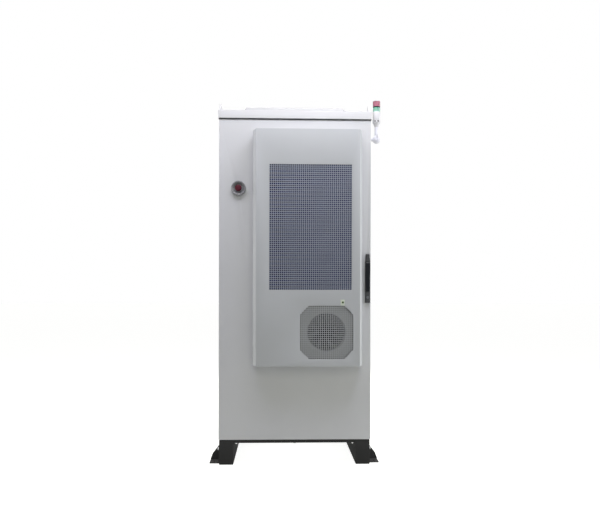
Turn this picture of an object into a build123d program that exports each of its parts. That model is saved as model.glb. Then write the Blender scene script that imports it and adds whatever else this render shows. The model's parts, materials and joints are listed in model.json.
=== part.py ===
from build123d import *
from math import cos, pi, radians, sin
import os

# Outdoor battery cabinet with a door-mounted air conditioner.
# Frame: origin on the floor under the cabinet's middle, X to the right, Y to the back, Z up. Millimetres.
os.makedirs("parts", exist_ok=True)

# ---- overall ----
cabinet_depth = 900.0  # door skin to rear panel
stop_zone = 205.0  # cabinet's left side to the air conditioner
handle_zone = 63.0  # air conditioner to the cabinet's right side
ac_low_zone = 450.0  # door's lower edge to the air conditioner
ac_high_zone = 87.0  # air conditioner to the door's upper edge
panel_sheet = 2.0
tube_wall = 3.0
touch_gap = 0.3  # between pieces that seat beside each other
run_gap = 0.05  # radial clearance of a running fit
hex_sides = 6
bore_reach = 100.0  # how far a through bore is cut past its middle

# ---- plinth ----
plinth_height = 146.0
plinth_inset = 4.0
channel_width = 84.0
channel_edge = 2.0
plinth_rail_height = 18.0
plinth_rail_depth = 40.0
bracket_length = 160.0
bracket_height = 105.0
bracket_reach = 60.0
bracket_sheet = 5.0
bracket_setback = 30.0
gusset_kink_out = 48.0
gusset_kink_height = 42.0
gusset_toe_height = 10.0
anchor_hole_r = 7.0
anchor_inset = 35.0  # hole centre from the bracket's outer end
anchor_out = 34.0  # hole centre from the channel's side
bolt_head_r = 10.0
bolt_head_height = 8.0
bracket_bolt_height = 80.0
rail_bolt_inset = 16.0

# ---- frame ----
post_size = 48.0
top_rail_height = 91.0
bottom_rail_height = 48.0
floor_sheet = 3.0
gland_plate_width = 400.0
gland_plate_depth = 90.0
gland_slot_margin = 20.0
gland_from_front = 150.0
gland_count = 4
gland_pitch = 85.0
gland_bore_r = 14.0
gland_thread_r = 20.0
gland_nut_r = 26.0
gland_nut_height = 14.0
gland_tail = 24.0
screw_head_r = 6.0
screw_head_height = 3.0
screw_rows = 6
screw_inset = 24.0

# ---- roof ----
roof_sheet = 3.0
roof_lip = 47.0
roof_side_gap = 2.0
roof_lip_sheet = 2.0
roof_front_overhang = 10.0
roof_corner_r = 3.0
roof_edge_r = 2.0
cap_width = 600.0
cap_depth = 600.0
cap_height = 60.0
cap_edge_r = 4.0
cap_lip = 8.0
cap_neck_inset = 12.0
ear_width = 26.0
ear_height = 50.0
ear_depth = 70.0
ear_sheet = 4.0
ear_nick = 6.0
lug_thick = 12.0
lug_length = 60.0
lug_height = 50.0
lug_foot = 40.0
lug_foot_sheet = 8.0
lug_hole_r = 13.0
lug_hole_edge = 10.0  # metal above the hole
lug_shoulder = 18.0  # height of the slanted corners
lug_top_width = 30.0
lug_edge_gap = 4.0
lug_front_inset = 36.0

# ---- door ----
door_depth = 30.0
door_frame_gap = 6.0
door_side_gap = 1.0
door_bottom_gap = 2.0
door_top_gap = 7.0
door_edge_r = 1.5
stiffener_width = 14.0
stiffener_depth = 24.0
gasket_width = 12.0
hinge_inset = 11.0  # pivot from the door's left edge
hinge_setback = 12.0  # pivot from the door's skin
hinge_pin_r = 4.0
knuckle_r = 7.0
hinge_height = 60.0
hinge_leaf = 22.0
hinge_web = 6.0
hinge_flange = 27.0
hinge_sheet = 3.0
hinge_end_inset = 220.0

# ---- handle and lock ----
handle_edge = 20.0  # handle's middle to the cabinet's right side
handle_rise = 809.0  # door's lower edge to the handle
handle_height = 289.0
handle_width = 30.0
handle_top_width = 21.0
handle_taper = 50.0  # height of the narrowing towards the top
handle_base = 6.0
handle_top_block = 45.0
handle_top_proud = 20.0
handle_key_block = 67.0
handle_key_proud = 17.0
handle_corner_r = 5.0
handle_bevel = 2.5
spindle_drop = 59.0  # pivot below the top of the base
spindle_r = 8.0
hub_r = 12.5
hub_thick = 4.5
lever_gap = 0.6
lever_top_width = 26.0
lever_end_width = 21.0
lever_thick = 19.0
lever_end_gap = 3.0
lever_taper_start = 40.0  # below the spindle
lever_end_rise = 12.0
lever_edge = 4.0
lever_knee_gap = 3.0
lever_slot = 10.0
lever_pin_r = 2.5
lever_pin_recess = 0.6
lever_knuckle_r = 6.5
tongue_r = 4.8
key_plug_r = 8.0
key_drop = 33.0  # key axis above the bottom of the base
key_proud = 1.5
key_cam_length = 15.0
key_cam_thick = 4.0
key_cam_width = 10.0
key_cam_gap = 0.5
key_slot_width = 2.0
key_slot_length = 10.0
key_slot_depth = 6.0
rod_r = 5.0
rod_travel = 20.0
rod_chamfer = 1.5
rod_setback = 15.0  # rod axis from the door's skin
gearbox_width = 27.0
gearbox_depth = 26.0
gearbox_height = 126.0
gearbox_wall = 3.0
guide_width = 24.0
guide_height = 16.0
guide_wall = 4.0
guide_shares = (0.45, 0.9)  # along each rod
strike_sheet = 4.0
strike_width = 31.0
strike_reach = 28.0
strike_slot = 13.0
strike_flange = 36.0
strike_flange_sheet = 3.0
strike_end_inset = 28.0  # strike plate from the door's end
rod_past_strike = 12.0

# ---- emergency stop ----
stop_edge = 116.0  # button's middle to the cabinet's left side
stop_rise = 1483.0  # door's lower edge to the button
guard_r = 42.5
guard_depth = 24.0
guard_base = 3.0
guard_mouth_r = 36.0
guard_floor_r = 25.0
guard_edge = 3.0
mushroom_r = 20.0
mushroom_height = 16.0
mushroom_dome = 5.0
mushroom_socket = 5.0
mushroom_skirt = 5.0
mushroom_undercut = 6.0
stop_travel = 5.0
stop_proud = 6.0
plunger_r = 8.0
stop_neck_r = 12.0
stop_block = 44.0
stop_block_depth = 46.0
stop_block_wall = 3.0

# ---- air conditioner ----
ac_height = 1353.0
ac_depth = 150.0
ac_front_width = 593.0
ac_base_width = 632.0
ac_slant_depth = 63.0
ac_sheet = 2.0
ac_bevel_share = 0.85  # of the sheet, at the slanted corners
intake_offset = 14.0
intake_rise = 437.0
intake_width = 470.0
intake_height = 713.0
grille_pitch = 23.4
grille_hole = 18.0
fan_offset = 106.0
fan_rise = 194.0
fan_window = 302.0
fan_window_corner = 48.0
status_offset = 197.0
status_rise = 364.0
status_width = 23.0
status_height = 33.0
status_thick = 1.5
tub_inset = 32.0  # tub wall from the cover's side
tub_depth = 156.0
tub_sheet = 2.0
partition_sheet = 3.0
tray_height = 24.0  # compressor tray above the cover's floor
tray_front_gap = 3.0
coil_thick = 40.0
coil_front_gap = 6.0
coil_margin = 10.0
coil_plate = 3.0
shroud_r = 108.0
shroud_sheet = 3.0
shroud_length = 40.0
shroud_size = 290.0
shroud_front_gap = 12.0
shroud_post_r = 6.0
shroud_post_inset = 12.0
fan_tip_gap = 5.0
fan_hub_r = 32.0
fan_blades = 7
fan_blade_thick = 3.0
fan_width = 30.0
fan_blade_angle = 32.0
fan_blade_root = 6.0  # of a blade inside the hub
fan_chord_share = 1.28
fan_front_gap = 5.0
motor_r = 42.0
motor_length = 46.0
motor_shaft_r = 5.0
motor_shaft_gap = 1.0
motor_edge = 4.0
compressor_r = 50.0
compressor_height = 190.0
compressor_inset = 125.0  # compressor's middle to the cover's side
compressor_foot = 8.0
compressor_foot_reach = 8.0
compressor_base_share = 0.7
compressor_top_share = 0.6
compressor_flare = 6.0
compressor_shoulder = 20.0
pipe_r = 5.0
pipe_bend = 20.0
pipe_gap = 16.0  # from the compressor's middle
pipe_rises = (60.0, 110.0)
pipe_shift = 50.0
pipe_step = 45.0
evaporator_width = 440.0
evaporator_height = 330.0
evaporator_thick = 45.0
evaporator_drop = 91.0  # below the unit's top
blower_r = 60.0
blower_length = 220.0
blower_disc = 4.0
blower_blades = 24
blower_blade = 3.0
blower_chord = 10.0
blower_blade_tilt = 35.0
blower_ring_inset = 7.0
blower_drop = 230.0  # below the evaporator
blower_shaft_r = 6.0
bearing_plate = 6.0
bearing_gap = 2.0
bearing_half = 20.0
louvre_width = 420.0
louvre_height = 10.0
louvre_pitch = 26.0
louvre_rows = 12
supply_louvre_rise = 122.0
return_louvre_drop = 411.0  # below the unit's top

# ---- beacon ----
beacon_out = 50.0  # pole's axis to the side panel
beacon_from_front = 120.0
beacon_drop = 136.0  # knuckle below the frame's top
ball_r = 24.0
ball_slot = 14.0
tongue_disc_r = 13.0
fold_pin_r = 4.0
beacon_arm_r = 10.0
beacon_plate = 6.0
beacon_plate_width = 70.0
beacon_plate_height = 90.0
beacon_plate_corner = 8.0
beacon_neck_depth = 18.0
beacon_neck_gap = 4.0  # pole's lower end above the ball
fold_pin_seat = 8.0
beacon_pole_r = 12.0
beacon_body_r = 24.0
beacon_cone_height = 24.0
beacon_pole_length = 77.0  # knuckle to the housing
beacon_housing_height = 68.0
beacon_green_height = 25.0
beacon_ring_height = 8.0
beacon_red_height = 30.0
beacon_cap_height = 6.0
beacon_lens_inset = 1.0
beacon_ring_inset = 2.0
beacon_flare = 3.0
beacon_cap_edge_r = 4.0

# ---- inside ----
module_count = 5
module_width = 690.0
module_gap = 21.0  # above each module
module_from_front = 250.0
module_rear_clear = 78.0
module_edge = 3.0
rack_post = 40.0
rack_side_gap = 5.0
rack_sheet = 4.0
shelf_ledge = 50.0
shelf_lip = 30.0
shelf_lip_sheet = 3.0
rack_first_shelf = 12.0
rack_top_gap = 12.0
terminal_x = 200.0
terminal_size = 30.0
terminal_proud = 4.0
terminal_drop = 60.0
busbar_thick = 4.0
handle_bar = 12.0
handle_bar_length = 150.0
handle_bar_x = 300.0
handle_bar_proud = 41.0
control_height = 186.0
control_head_room = 138.0
breaker_x = 200.0
breaker_width = 40.0
breaker_height = 80.0
breaker_proud = 30.0
breaker_well = 28.0
toggle_width = 20.0
toggle_hub_r = 8.0
toggle_axle_r = 3.0
toggle_length = 30.0
toggle_tilt = 25.0
toggle_axle_seat = 5.0
toggle_grip_width = 12.0
toggle_grip_thick = 6.0
toggle_pivot_share = 0.6  # of the breaker's depth

# ---- planes that the pieces share ----
cabinet_width = stop_zone + ac_base_width + handle_zone
door_height = ac_low_zone + ac_height + ac_high_zone
body_height = door_bottom_gap + door_height + door_top_gap + roof_lip - roof_sheet
half_w = cabinet_width / 2
y_front = -cabinet_depth / 2
y_rear = cabinet_depth / 2
z_body = plinth_height
z_top = z_body + body_height
z_roof = z_top + roof_sheet
z_lip = z_roof - roof_lip
frame_x = half_w - panel_sheet
frame_front = y_front + door_depth + door_frame_gap
frame_rear = y_rear - panel_sheet
opening_x = frame_x - post_size
opening_low = z_body + bottom_rail_height
opening_high = z_top - top_rail_height
floor_top = opening_low + floor_sheet
door_x = half_w - door_side_gap
door_low = z_body + door_bottom_gap
door_high = door_low + door_height
skin_back = y_front + panel_sheet
hinge_x = -door_x + hinge_inset
hinge_y = y_front + hinge_setback
seal_x = opening_x + 2 + gasket_width
seal_low = opening_low - 2 - gasket_width
seal_high = opening_high + 2 + gasket_width
stiffener_back = skin_back + stiffener_depth
ac_x = -half_w + stop_zone + ac_base_width / 2
ac_bottom = door_low + ac_low_zone
ac_top = ac_bottom + ac_height
intake_x = ac_x + intake_offset
intake_bottom = ac_bottom + intake_rise
fan_x = ac_x + fan_offset
fan_z = ac_bottom + fan_rise
compressor_x = ac_x - ac_base_width / 2 + compressor_inset
evaporator_bottom = ac_top - evaporator_drop - evaporator_height
blower_z = evaporator_bottom - blower_drop
handle_x = half_w - handle_edge
handle_bottom = door_low + handle_rise
stop_x = -half_w + stop_edge
stop_z = door_low + stop_rise
rod_y = y_front + rod_setback
spindle_z = handle_bottom + handle_height - spindle_drop


def block(x0, x1, y0, y1, z0, z1):
    """A box between two corners."""
    return Pos(x0, y0, z0) * Box(x1 - x0, y1 - y0, z1 - z0, align=(Align.MIN, Align.MIN, Align.MIN))


def tube(x0, x1, y0, y1, z0, z1):
    """A closed box section with the frame's wall."""
    w = tube_wall
    return block(x0, x1, y0, y1, z0, z1) - block(x0 + w, x1 - w, y0 + w, y1 - w, z0 + w, z1 - w)


def rod_along_x(x0, x1, y, z, r):
    return Pos((x0 + x1) / 2, y, z) * Rot(0, 90, 0) * Cylinder(r, x1 - x0)


def rod_along_y(x, y0, y1, z, r):
    return Pos(x, (y0 + y1) / 2, z) * Rot(90, 0, 0) * Cylinder(r, y1 - y0)


def rod_along_z(x, y, z0, z1, r):
    return Pos(x, y, (z0 + z1) / 2) * Cylinder(r, z1 - z0)


def hexagon_along_z(x, y, z0, z1, r):
    return extrude(Pos(x, y, z0) * RegularPolygon(r, hex_sides), z1 - z0, dir=(0, 0, 1))


def profile_along_x(points, x0, x1):
    """A polygon of (y, z) points, pulled from x0 to x1."""
    face = Face(Wire.make_polygon([Vector(x0, y, z) for y, z in points], close=True))
    return extrude(face, x1 - x0, dir=(1, 0, 0))


def profile_along_y(points, y0, y1):
    """A polygon of (x, z) points, pulled from y0 to y1."""
    face = Face(Wire.make_polygon([Vector(x, y0, z) for x, z in points], close=True))
    return extrude(face, y1 - y0, dir=(0, 1, 0))


def profile_along_z(points, z0, z1):
    """A polygon of (x, y) points, pulled from z0 to z1."""
    face = Face(Wire.make_polygon([Vector(x, y, z0) for x, y in points], close=True))
    return extrude(face, z1 - z0, dir=(0, 0, 1))


def turned_along_y(points, x, z):
    """A polygon of (radius, y) points, turned about a line along Y through (x, z)."""
    face = Face(Wire.make_polygon([Vector(r, y, 0) for r, y in points], close=True))
    return Pos(x, 0, z) * revolve(face, Axis.Y)


def turned_along_z(points, x, y):
    """A polygon of (radius, z) points, turned about a line along Z through (x, y)."""
    face = Face(Wire.make_polygon([Vector(r, 0, z) for r, z in points], close=True))
    return Pos(x, y, 0) * revolve(face, Axis.Z)


def perforated(outline, holes, y0, y1):
    """A plate with an outline of (x, z) points and square holes, each (x, z) middle and side."""
    outer = Wire.make_polygon([Vector(x, y0, z) for x, z in outline], close=True)
    inner = []
    for x, z, side in holes:
        h = side / 2
        corners = [(x - h, z - h), (x + h, z - h), (x + h, z + h), (x - h, z + h)]
        inner.append(Wire.make_polygon([Vector(a, y0, b) for a, b in corners], close=True))
    return extrude(Face(outer, inner), y1 - y0, dir=(0, 1, 0))


def strips(x, low, high, width, y0, y1):
    """Four mitred strips round a rectangle, whose outer edge is at -x to x and low to high."""
    w = width
    return [
        profile_along_y([(-x, low), (-x, high), (-x + w, high - w), (-x + w, low + w)], y0, y1),
        profile_along_y([(x, low), (x - w, low + w), (x - w, high - w), (x, high)], y0, y1),
        profile_along_y([(-x, low), (-x + w, low + w), (x - w, low + w), (x, low)], y0, y1),
        profile_along_y([(-x, high), (x, high), (x - w, high - w), (-x + w, high - w)], y0, y1),
    ]


def write(name, *shapes):
    """One STEP file for one node, with each of its solids apart."""
    solids = []
    for shape in shapes:
        solids.extend(shape.solids())
    export_step(Compound(children=solids) if len(solids) > 1 else solids[0], f"parts/{name}.step")


# ---- plinth ----
plinth_x = half_w - plinth_inset
plinth_y = cabinet_depth / 2 - plinth_inset
channel_inner = plinth_x - channel_width
bracket_y = plinth_y - bracket_setback - bracket_length / 2


def make_plinth():
    channels = []
    for x0 in (-plinth_x, channel_inner):
        outer = block(x0, x0 + channel_width, -plinth_y, plinth_y, 0, z_body)
        w = tube_wall
        hollow = block(x0 + w, x0 + channel_width - w, -plinth_y + w, plinth_y - w, w, z_body - w)
        channels.append(chamfer(outer.edges().filter_by(Axis.Y), channel_edge) - hollow)
    write("plinth_channels", *channels)
    rail_low = z_body - plinth_rail_height
    rails = [block(-channel_inner, channel_inner, y0, y0 + plinth_rail_depth, rail_low, z_body)
             for y0 in (-plinth_y, -plinth_rail_depth / 2, plinth_y - plinth_rail_depth)]
    write("plinth_cross_rails", *rails)


def make_anchor_bracket(side, end):
    """An angle with a middle gusset. side is -1 or 1 along X, end is -1 or 1 along Y."""
    x0 = side * plinth_x
    mid = end * bracket_y
    half = bracket_length / 2
    out = side * bracket_reach
    sheet = side * bracket_sheet
    angle = profile_along_y([(x0, 0), (x0 + out, 0), (x0 + out, bracket_sheet), (x0 + sheet, bracket_sheet),
                             (x0 + sheet, bracket_height), (x0, bracket_height)], mid - half, mid + half)
    gusset = profile_along_y([(x0, 0), (x0 + out, 0), (x0 + out, gusset_toe_height),
                              (x0 + side * gusset_kink_out, gusset_kink_height), (x0, bracket_height)],
                             mid - bracket_sheet / 2, mid + bracket_sheet / 2)
    hole_y = mid + end * (half - anchor_inset)
    hole = rod_along_z(x0 + side * anchor_out, hole_y, -1, bracket_sheet + 1, anchor_hole_r)
    return angle + gusset - hole


def make_brackets():
    write("anchor_brackets", *[make_anchor_bracket(s, e) for s in (-1, 1) for e in (-1, 1)])
    bolts = []
    for side in (-1, 1):
        face = side * (plinth_x + bracket_sheet)
        tip = face + side * bolt_head_height
        for end in (-1, 1):
            for half in (-1, 1):
                y = end * bracket_y + half * (bracket_length / 2 - anchor_inset)
                bolts.append(Pos((face + tip) / 2, y, bracket_bolt_height) * Rot(0, 90, 0) * extrude(
                    RegularPolygon(bolt_head_r, hex_sides), bolt_head_height / 2, both=True))
    rail_low = z_body - plinth_rail_height
    for x in (-channel_inner + rail_bolt_inset, 0, channel_inner - rail_bolt_inset):
        for end in (-1, 1):
            y = end * (plinth_y - plinth_rail_depth / 2)
            bolts.append(hexagon_along_z(x, y, rail_low - bolt_head_height, rail_low, bolt_head_r))
    write("plinth_bolts", *bolts)


# ---- frame, floor and panels ----
def make_frame():
    posts = []
    for x0 in (-frame_x, opening_x):
        for y0 in (frame_front, frame_rear - post_size):
            posts.append(tube(x0, x0 + post_size, y0, y0 + post_size, z_body, z_top))
    write("corner_posts", *posts)
    rails = []
    for z0, z1 in ((z_body, opening_low), (opening_high, z_top)):
        for y0 in (frame_front, frame_rear - post_size):
            rails.append(tube(-opening_x, opening_x, y0, y0 + post_size, z0, z1))
        for x0 in (-frame_x, opening_x):
            rails.append(tube(x0, x0 + post_size, frame_front + post_size, frame_rear - post_size, z0, z1))
    write("frame_rails", *rails)


def make_floor():
    gland_y = y_front + gland_from_front
    plate = block(-frame_x, frame_x, frame_front, frame_rear, opening_low, floor_top)
    for x0 in (-frame_x, opening_x):
        for y0 in (frame_front, frame_rear - post_size):
            plate -= block(x0, x0 + post_size, y0, y0 + post_size, opening_low - 1, floor_top + 1)
    slot_x = gland_plate_width / 2 - gland_slot_margin
    slot_y = gland_plate_depth / 2 - gland_slot_margin / 2
    plate -= block(-slot_x, slot_x, gland_y - slot_y, gland_y + slot_y, opening_low - 1, floor_top + 1)
    write("floor_plate", plate)
    cover = block(-gland_plate_width / 2, gland_plate_width / 2, gland_y - gland_plate_depth / 2,
                  gland_y + gland_plate_depth / 2, floor_top, floor_top + panel_sheet)
    glands = []
    plate_top = floor_top + panel_sheet
    for i in range(gland_count):
        x = (i - (gland_count - 1) / 2) * gland_pitch
        cover -= rod_along_z(x, gland_y, floor_top - 1, plate_top + 1, gland_thread_r + run_gap)
        body = rod_along_z(x, gland_y, floor_top - gland_tail, plate_top + gland_nut_height, gland_thread_r)
        body += hexagon_along_z(x, gland_y, plate_top, plate_top + gland_nut_height, gland_nut_r)
        bore = rod_along_z(x, gland_y, floor_top - bore_reach, floor_top + bore_reach, gland_bore_r)
        glands.append(body - bore)
    write("gland_plate", cover)
    write("cable_glands", *glands)


def make_panels():
    write("side_panel_left", block(-half_w, -frame_x, frame_front, frame_rear, z_body, z_top))
    write("side_panel_right", block(frame_x, half_w, frame_front, frame_rear, z_body, z_top))
    write("rear_panel", block(-half_w, half_w, frame_rear, y_rear, z_body, z_top))
    screws = []
    low = z_body + screw_inset
    high = z_lip - screw_inset
    for i in range(screw_rows):
        z = low + (high - low) * i / (screw_rows - 1)
        for y in (frame_front + screw_inset, frame_rear - screw_inset):
            screws.append(rod_along_x(half_w, half_w + screw_head_height, y, z, screw_head_r))
            screws.append(rod_along_x(-half_w - screw_head_height, -half_w, y, z, screw_head_r))
        for x in (-frame_x + screw_inset, frame_x - screw_inset):
            screws.append(rod_along_y(x, y_rear, y_rear + screw_head_height, z, screw_head_r))
    write("panel_screws", *screws)


# ---- roof ----
roof_x = half_w + roof_side_gap + roof_lip_sheet
roof_front = y_front - roof_front_overhang
roof_back = y_rear + roof_side_gap + roof_lip_sheet
ear_x = cap_width / 2 + ear_width


def make_roof():
    outer = block(-roof_x, roof_x, roof_front, roof_back, z_lip, z_roof)
    outer = fillet(outer.edges().filter_by(Axis.Z), roof_corner_r)
    outer = fillet(outer.faces().sort_by(Axis.Z)[-1].edges(), roof_edge_r)
    t = roof_lip_sheet
    hollow = block(-roof_x + t, roof_x - t, roof_front + t, roof_back - t, z_lip - 1, z_top)
    write("roof_cover", outer - hollow)

    neck_x = cap_width / 2 - cap_neck_inset
    neck_y = cap_depth / 2 - cap_neck_inset
    neck = block(-neck_x, neck_x, -neck_y, neck_y, z_roof, z_roof + cap_lip)
    hood = block(-cap_width / 2, cap_width / 2, -cap_depth / 2, cap_depth / 2,
                 z_roof + cap_lip, z_roof + cap_height)
    hood = fillet(hood.edges().filter_by(Axis.Z) + hood.faces().sort_by(Axis.Z)[-1].edges(), cap_edge_r)
    t = roof_lip_sheet
    neck -= block(-neck_x + t, neck_x - t, -neck_y + t, neck_y - t, z_roof - 1, z_roof + cap_lip + 1)
    hood -= block(-cap_width / 2 + t, cap_width / 2 - t, -cap_depth / 2 + t, cap_depth / 2 - t,
                  z_roof + cap_lip + t, z_roof + cap_height - t)
    write("roof_vent_cap", neck + hood)

    ears = []
    for side in (-1, 1):
        wall = side * (cap_width / 2 + touch_gap)
        for end in (-1, 1):
            y = end * (cap_depth / 2 - ear_depth / 2)
            foot = block(min(wall, side * ear_x), max(wall, side * ear_x),
                         y - ear_depth / 2, y + ear_depth / 2, z_roof, z_roof + ear_sheet)
            ear_top = z_roof + ear_height
            web = profile_along_y([(wall, z_roof), (side * ear_x, z_roof), (side * ear_x, ear_top - ear_nick),
                                   (side * (ear_x - ear_nick), ear_top), (wall, ear_top)],
                                  y - ear_sheet / 2, y + ear_sheet / 2)
            flange = block(min(wall, wall + side * ear_sheet), max(wall, wall + side * ear_sheet),
                           y - ear_depth / 2, y + ear_depth / 2, z_roof, z_roof + ear_height)
            ears.append(foot + web + flange)
    write("roof_cap_brackets", *ears)


def make_lugs():
    lugs = []
    for side in (-1, 1):
        outer = side * (roof_x - lug_edge_gap)
        inner = outer - side * lug_thick
        for end in (-1, 1):
            y = end * (cabinet_depth / 2 - lug_front_inset - lug_length / 2)
            h = lug_length / 2
            top = z_roof + lug_height
            flat = lug_top_width / 2
            shoulder = top - lug_shoulder
            plate = profile_along_x([(y - h, z_roof), (y + h, z_roof), (y + h, shoulder),
                                     (y + flat, top), (y - flat, top), (y - h, shoulder)],
                                    min(outer, inner), max(outer, inner))
            hole_z = top - lug_hole_r - lug_hole_edge
            plate -= rod_along_x(-roof_x, roof_x, y, hole_z, lug_hole_r)
            foot_end = inner - side * lug_foot
            foot = block(min(inner, foot_end), max(inner, foot_end), y - h, y + h,
                         z_roof, z_roof + lug_foot_sheet)
            lugs.append(plate + foot)
    write("lifting_lugs", *lugs)


# ---- door ----
hinge_levels = (door_low + hinge_end_inset, (door_low + door_high) / 2, door_high - hinge_end_inset)
ac_back_half = ac_base_width / 2
tub_x0 = ac_x - ac_back_half + tub_inset
tub_x1 = ac_x + ac_back_half - tub_inset
tub_low = ac_bottom + tub_inset
tub_high = ac_top - tub_inset


def make_door():
    pan = block(-door_x, door_x, y_front, y_front + door_depth, door_low, door_high)
    pan = fillet(pan.faces().sort_by(Axis.Y)[0].edges(), door_edge_r)
    t = panel_sheet
    pan -= block(-door_x + t, door_x - t, skin_back, frame_front, door_low + t, door_high - t)
    gap = touch_gap
    pan -= block(tub_x0 - gap, tub_x1 + gap, y_front - 1, frame_front, tub_low - gap, tub_high + gap)
    for z in hinge_levels:
        half = hinge_height / 2 + 2
        pan -= block(-door_x - 1, -door_x + t, skin_back, frame_front, z - half, z + half)
    pan -= rod_along_y(handle_x, y_front - 1, skin_back + 1, spindle_z, spindle_r + 1)
    pan -= rod_along_y(handle_x, y_front - 1, skin_back + 1, handle_bottom + key_drop, key_plug_r + 1)
    pan -= rod_along_y(stop_x, y_front - 1, skin_back + 1, stop_z, stop_neck_r + run_gap)
    write("door_panel", pan)
    write("door_stiffeners", *strips(seal_x, seal_low, seal_high, stiffener_width, skin_back, stiffener_back))
    seal_back = frame_front - touch_gap
    write("door_gasket", *strips(seal_x, seal_low, seal_high, gasket_width, stiffener_back, seal_back))


def make_hinges():
    frame_leaves, door_leaves, pins = [], [], []
    half = hinge_height / 2
    for z in hinge_levels:
        hole = rod_along_z(hinge_x, hinge_y, z - half - 1, z + half + 1, hinge_pin_r + run_gap)
        flange_back = frame_front - hinge_sheet
        leaf = rod_along_z(hinge_x, hinge_y, z - half, z - touch_gap, knuckle_r)
        web = hinge_web / 2
        leaf += block(hinge_x - web, hinge_x + web, hinge_y, frame_front, z - half, z - touch_gap)
        leaf += block(-frame_x, -frame_x + hinge_flange, flange_back, frame_front, z - half, z + half)
        frame_leaves.append(leaf - hole)
        leaf = rod_along_z(hinge_x, hinge_y, z, z + half, knuckle_r)
        leaf += block(hinge_x, hinge_x + hinge_leaf, skin_back, skin_back + hinge_sheet + 1, z, z + half)
        door_leaves.append(leaf - hole)
        pins.append(rod_along_z(hinge_x, hinge_y, z - half, z + half, hinge_pin_r))
    write("hinge_frame_leaves", *frame_leaves)
    write("hinge_door_leaves", *door_leaves)
    write("hinge_pins", *pins)


# ---- swing handle and three-point lock ----
base_front = y_front - handle_base
handle_top = handle_bottom + handle_height
hub_back = base_front - lever_gap
hub_front = hub_back - hub_thick
pin_y = hub_front - touch_gap - lever_knuckle_r
lever_back = base_front - lever_gap
lever_front = lever_back - lever_thick
key_z = handle_bottom + key_drop


def make_handle():
    x0 = handle_x - handle_width / 2
    x1 = handle_x + handle_width / 2
    top_half = handle_top_width / 2
    outline = [(x0, handle_bottom), (x1, handle_bottom), (x1, handle_top - handle_taper),
               (handle_x + top_half, handle_top), (handle_x - top_half, handle_top),
               (x0, handle_top - handle_taper)]
    base = profile_along_y(outline, base_front, y_front)
    base = fillet(base.edges().filter_by(Axis.Y).sort_by(Axis.Z)[:2], handle_corner_r)
    base = fillet(base.edges().filter_by(Axis.Y).sort_by(Axis.Z)[-2:], handle_corner_r)
    top = profile_along_y(outline, y_front - handle_top_proud, base_front)
    top &= block(x0, x1, y_front - handle_top_proud, base_front, handle_top - handle_top_block, handle_top)
    top = fillet(top.edges().filter_by(Axis.Y).sort_by(Axis.Z)[-2:], handle_corner_r)
    top = chamfer(top.faces().sort_by(Axis.Y)[0].edges(), handle_bevel)
    key = block(x0, x1, y_front - handle_key_proud, base_front,
                handle_bottom, handle_bottom + handle_key_block)
    key = fillet(key.edges().filter_by(Axis.Y).sort_by(Axis.Z)[:2], handle_corner_r)
    key = chamfer(key.faces().sort_by(Axis.Y)[0].edges(), handle_bevel)
    body = base + top + key
    body -= rod_along_y(handle_x, y_front - bore_reach, y_front + 1, spindle_z, spindle_r + run_gap)
    body -= rod_along_y(handle_x, y_front - bore_reach, y_front + 1, key_z, key_plug_r + run_gap)
    write("handle_escutcheon", body)

    hub = rod_along_y(handle_x, hub_front, hub_back, spindle_z, hub_r)
    hub += rod_along_y(handle_x, hub_back, skin_back + gearbox_depth - gearbox_wall - 1, spindle_z, spindle_r)
    tongue_half = lever_slot / 2 - touch_gap
    tongue = rod_along_x(handle_x - tongue_half, handle_x + tongue_half, pin_y, spindle_z, tongue_r)
    tongue += block(handle_x - tongue_half, handle_x + tongue_half, pin_y, hub_front,
                    spindle_z - tongue_r, spindle_z + tongue_r)
    hole = rod_along_x(handle_x - handle_width, handle_x + handle_width, pin_y, spindle_z,
                       lever_pin_r + run_gap)
    write("handle_spindle", hub + tongue - hole)

    end_z = handle_bottom + handle_key_block + lever_end_gap
    tw, ew = lever_top_width / 2, lever_end_width / 2
    taper_z = spindle_z - lever_taper_start
    face = profile_along_y([(handle_x - tw, spindle_z), (handle_x - tw, taper_z), (handle_x - ew, end_z),
                            (handle_x + ew, end_z), (handle_x + tw, taper_z), (handle_x + tw, spindle_z)],
                           lever_front, lever_back)
    face += rod_along_y(handle_x, lever_front, lever_back, spindle_z, tw)
    knee = spindle_z - hub_r - lever_knee_gap
    side = profile_along_x([(pin_y + lever_knuckle_r, spindle_z), (pin_y + lever_knuckle_r, knee),
                            (lever_back, knee), (lever_back, end_z), (lever_front + lever_edge, end_z),
                            (lever_front, end_z + lever_end_rise), (lever_front, spindle_z + lever_edge / 2),
                            (lever_front + lever_edge, spindle_z + lever_knuckle_r),
                            (pin_y, spindle_z + lever_knuckle_r)],
                           handle_x - tw - 1, handle_x + tw + 1)
    side += rod_along_x(handle_x - tw - 1, handle_x + tw + 1, pin_y, spindle_z, lever_knuckle_r)
    lever = face & side
    slot_front = pin_y - tongue_r - touch_gap
    lever -= block(handle_x - lever_slot / 2, handle_x + lever_slot / 2, slot_front, lever_back + 1,
                   spindle_z - hub_r - 2, spindle_z + lever_thick)
    lever -= hole
    write("handle_lever", lever)
    pin_half = tw - lever_pin_recess
    pin = rod_along_x(handle_x - pin_half, handle_x + pin_half, pin_y, spindle_z, lever_pin_r)
    write("handle_lever_pin", pin)

    plug_front = y_front - handle_key_proud - key_proud
    cam_y = skin_back + key_cam_gap
    cam_half = key_cam_width / 2
    slot_half = key_slot_width / 2
    plug = rod_along_y(handle_x, plug_front, cam_y + key_cam_thick, key_z, key_plug_r)
    plug += block(handle_x - cam_half, handle_x + cam_half, cam_y, cam_y + key_cam_thick,
                  key_z, key_z + key_cam_length)
    plug -= block(handle_x - slot_half, handle_x + slot_half, plug_front - 1, plug_front + key_slot_depth,
                  key_z - key_slot_length / 2, key_z + key_slot_length / 2)
    write("key_cylinder", plug)


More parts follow.
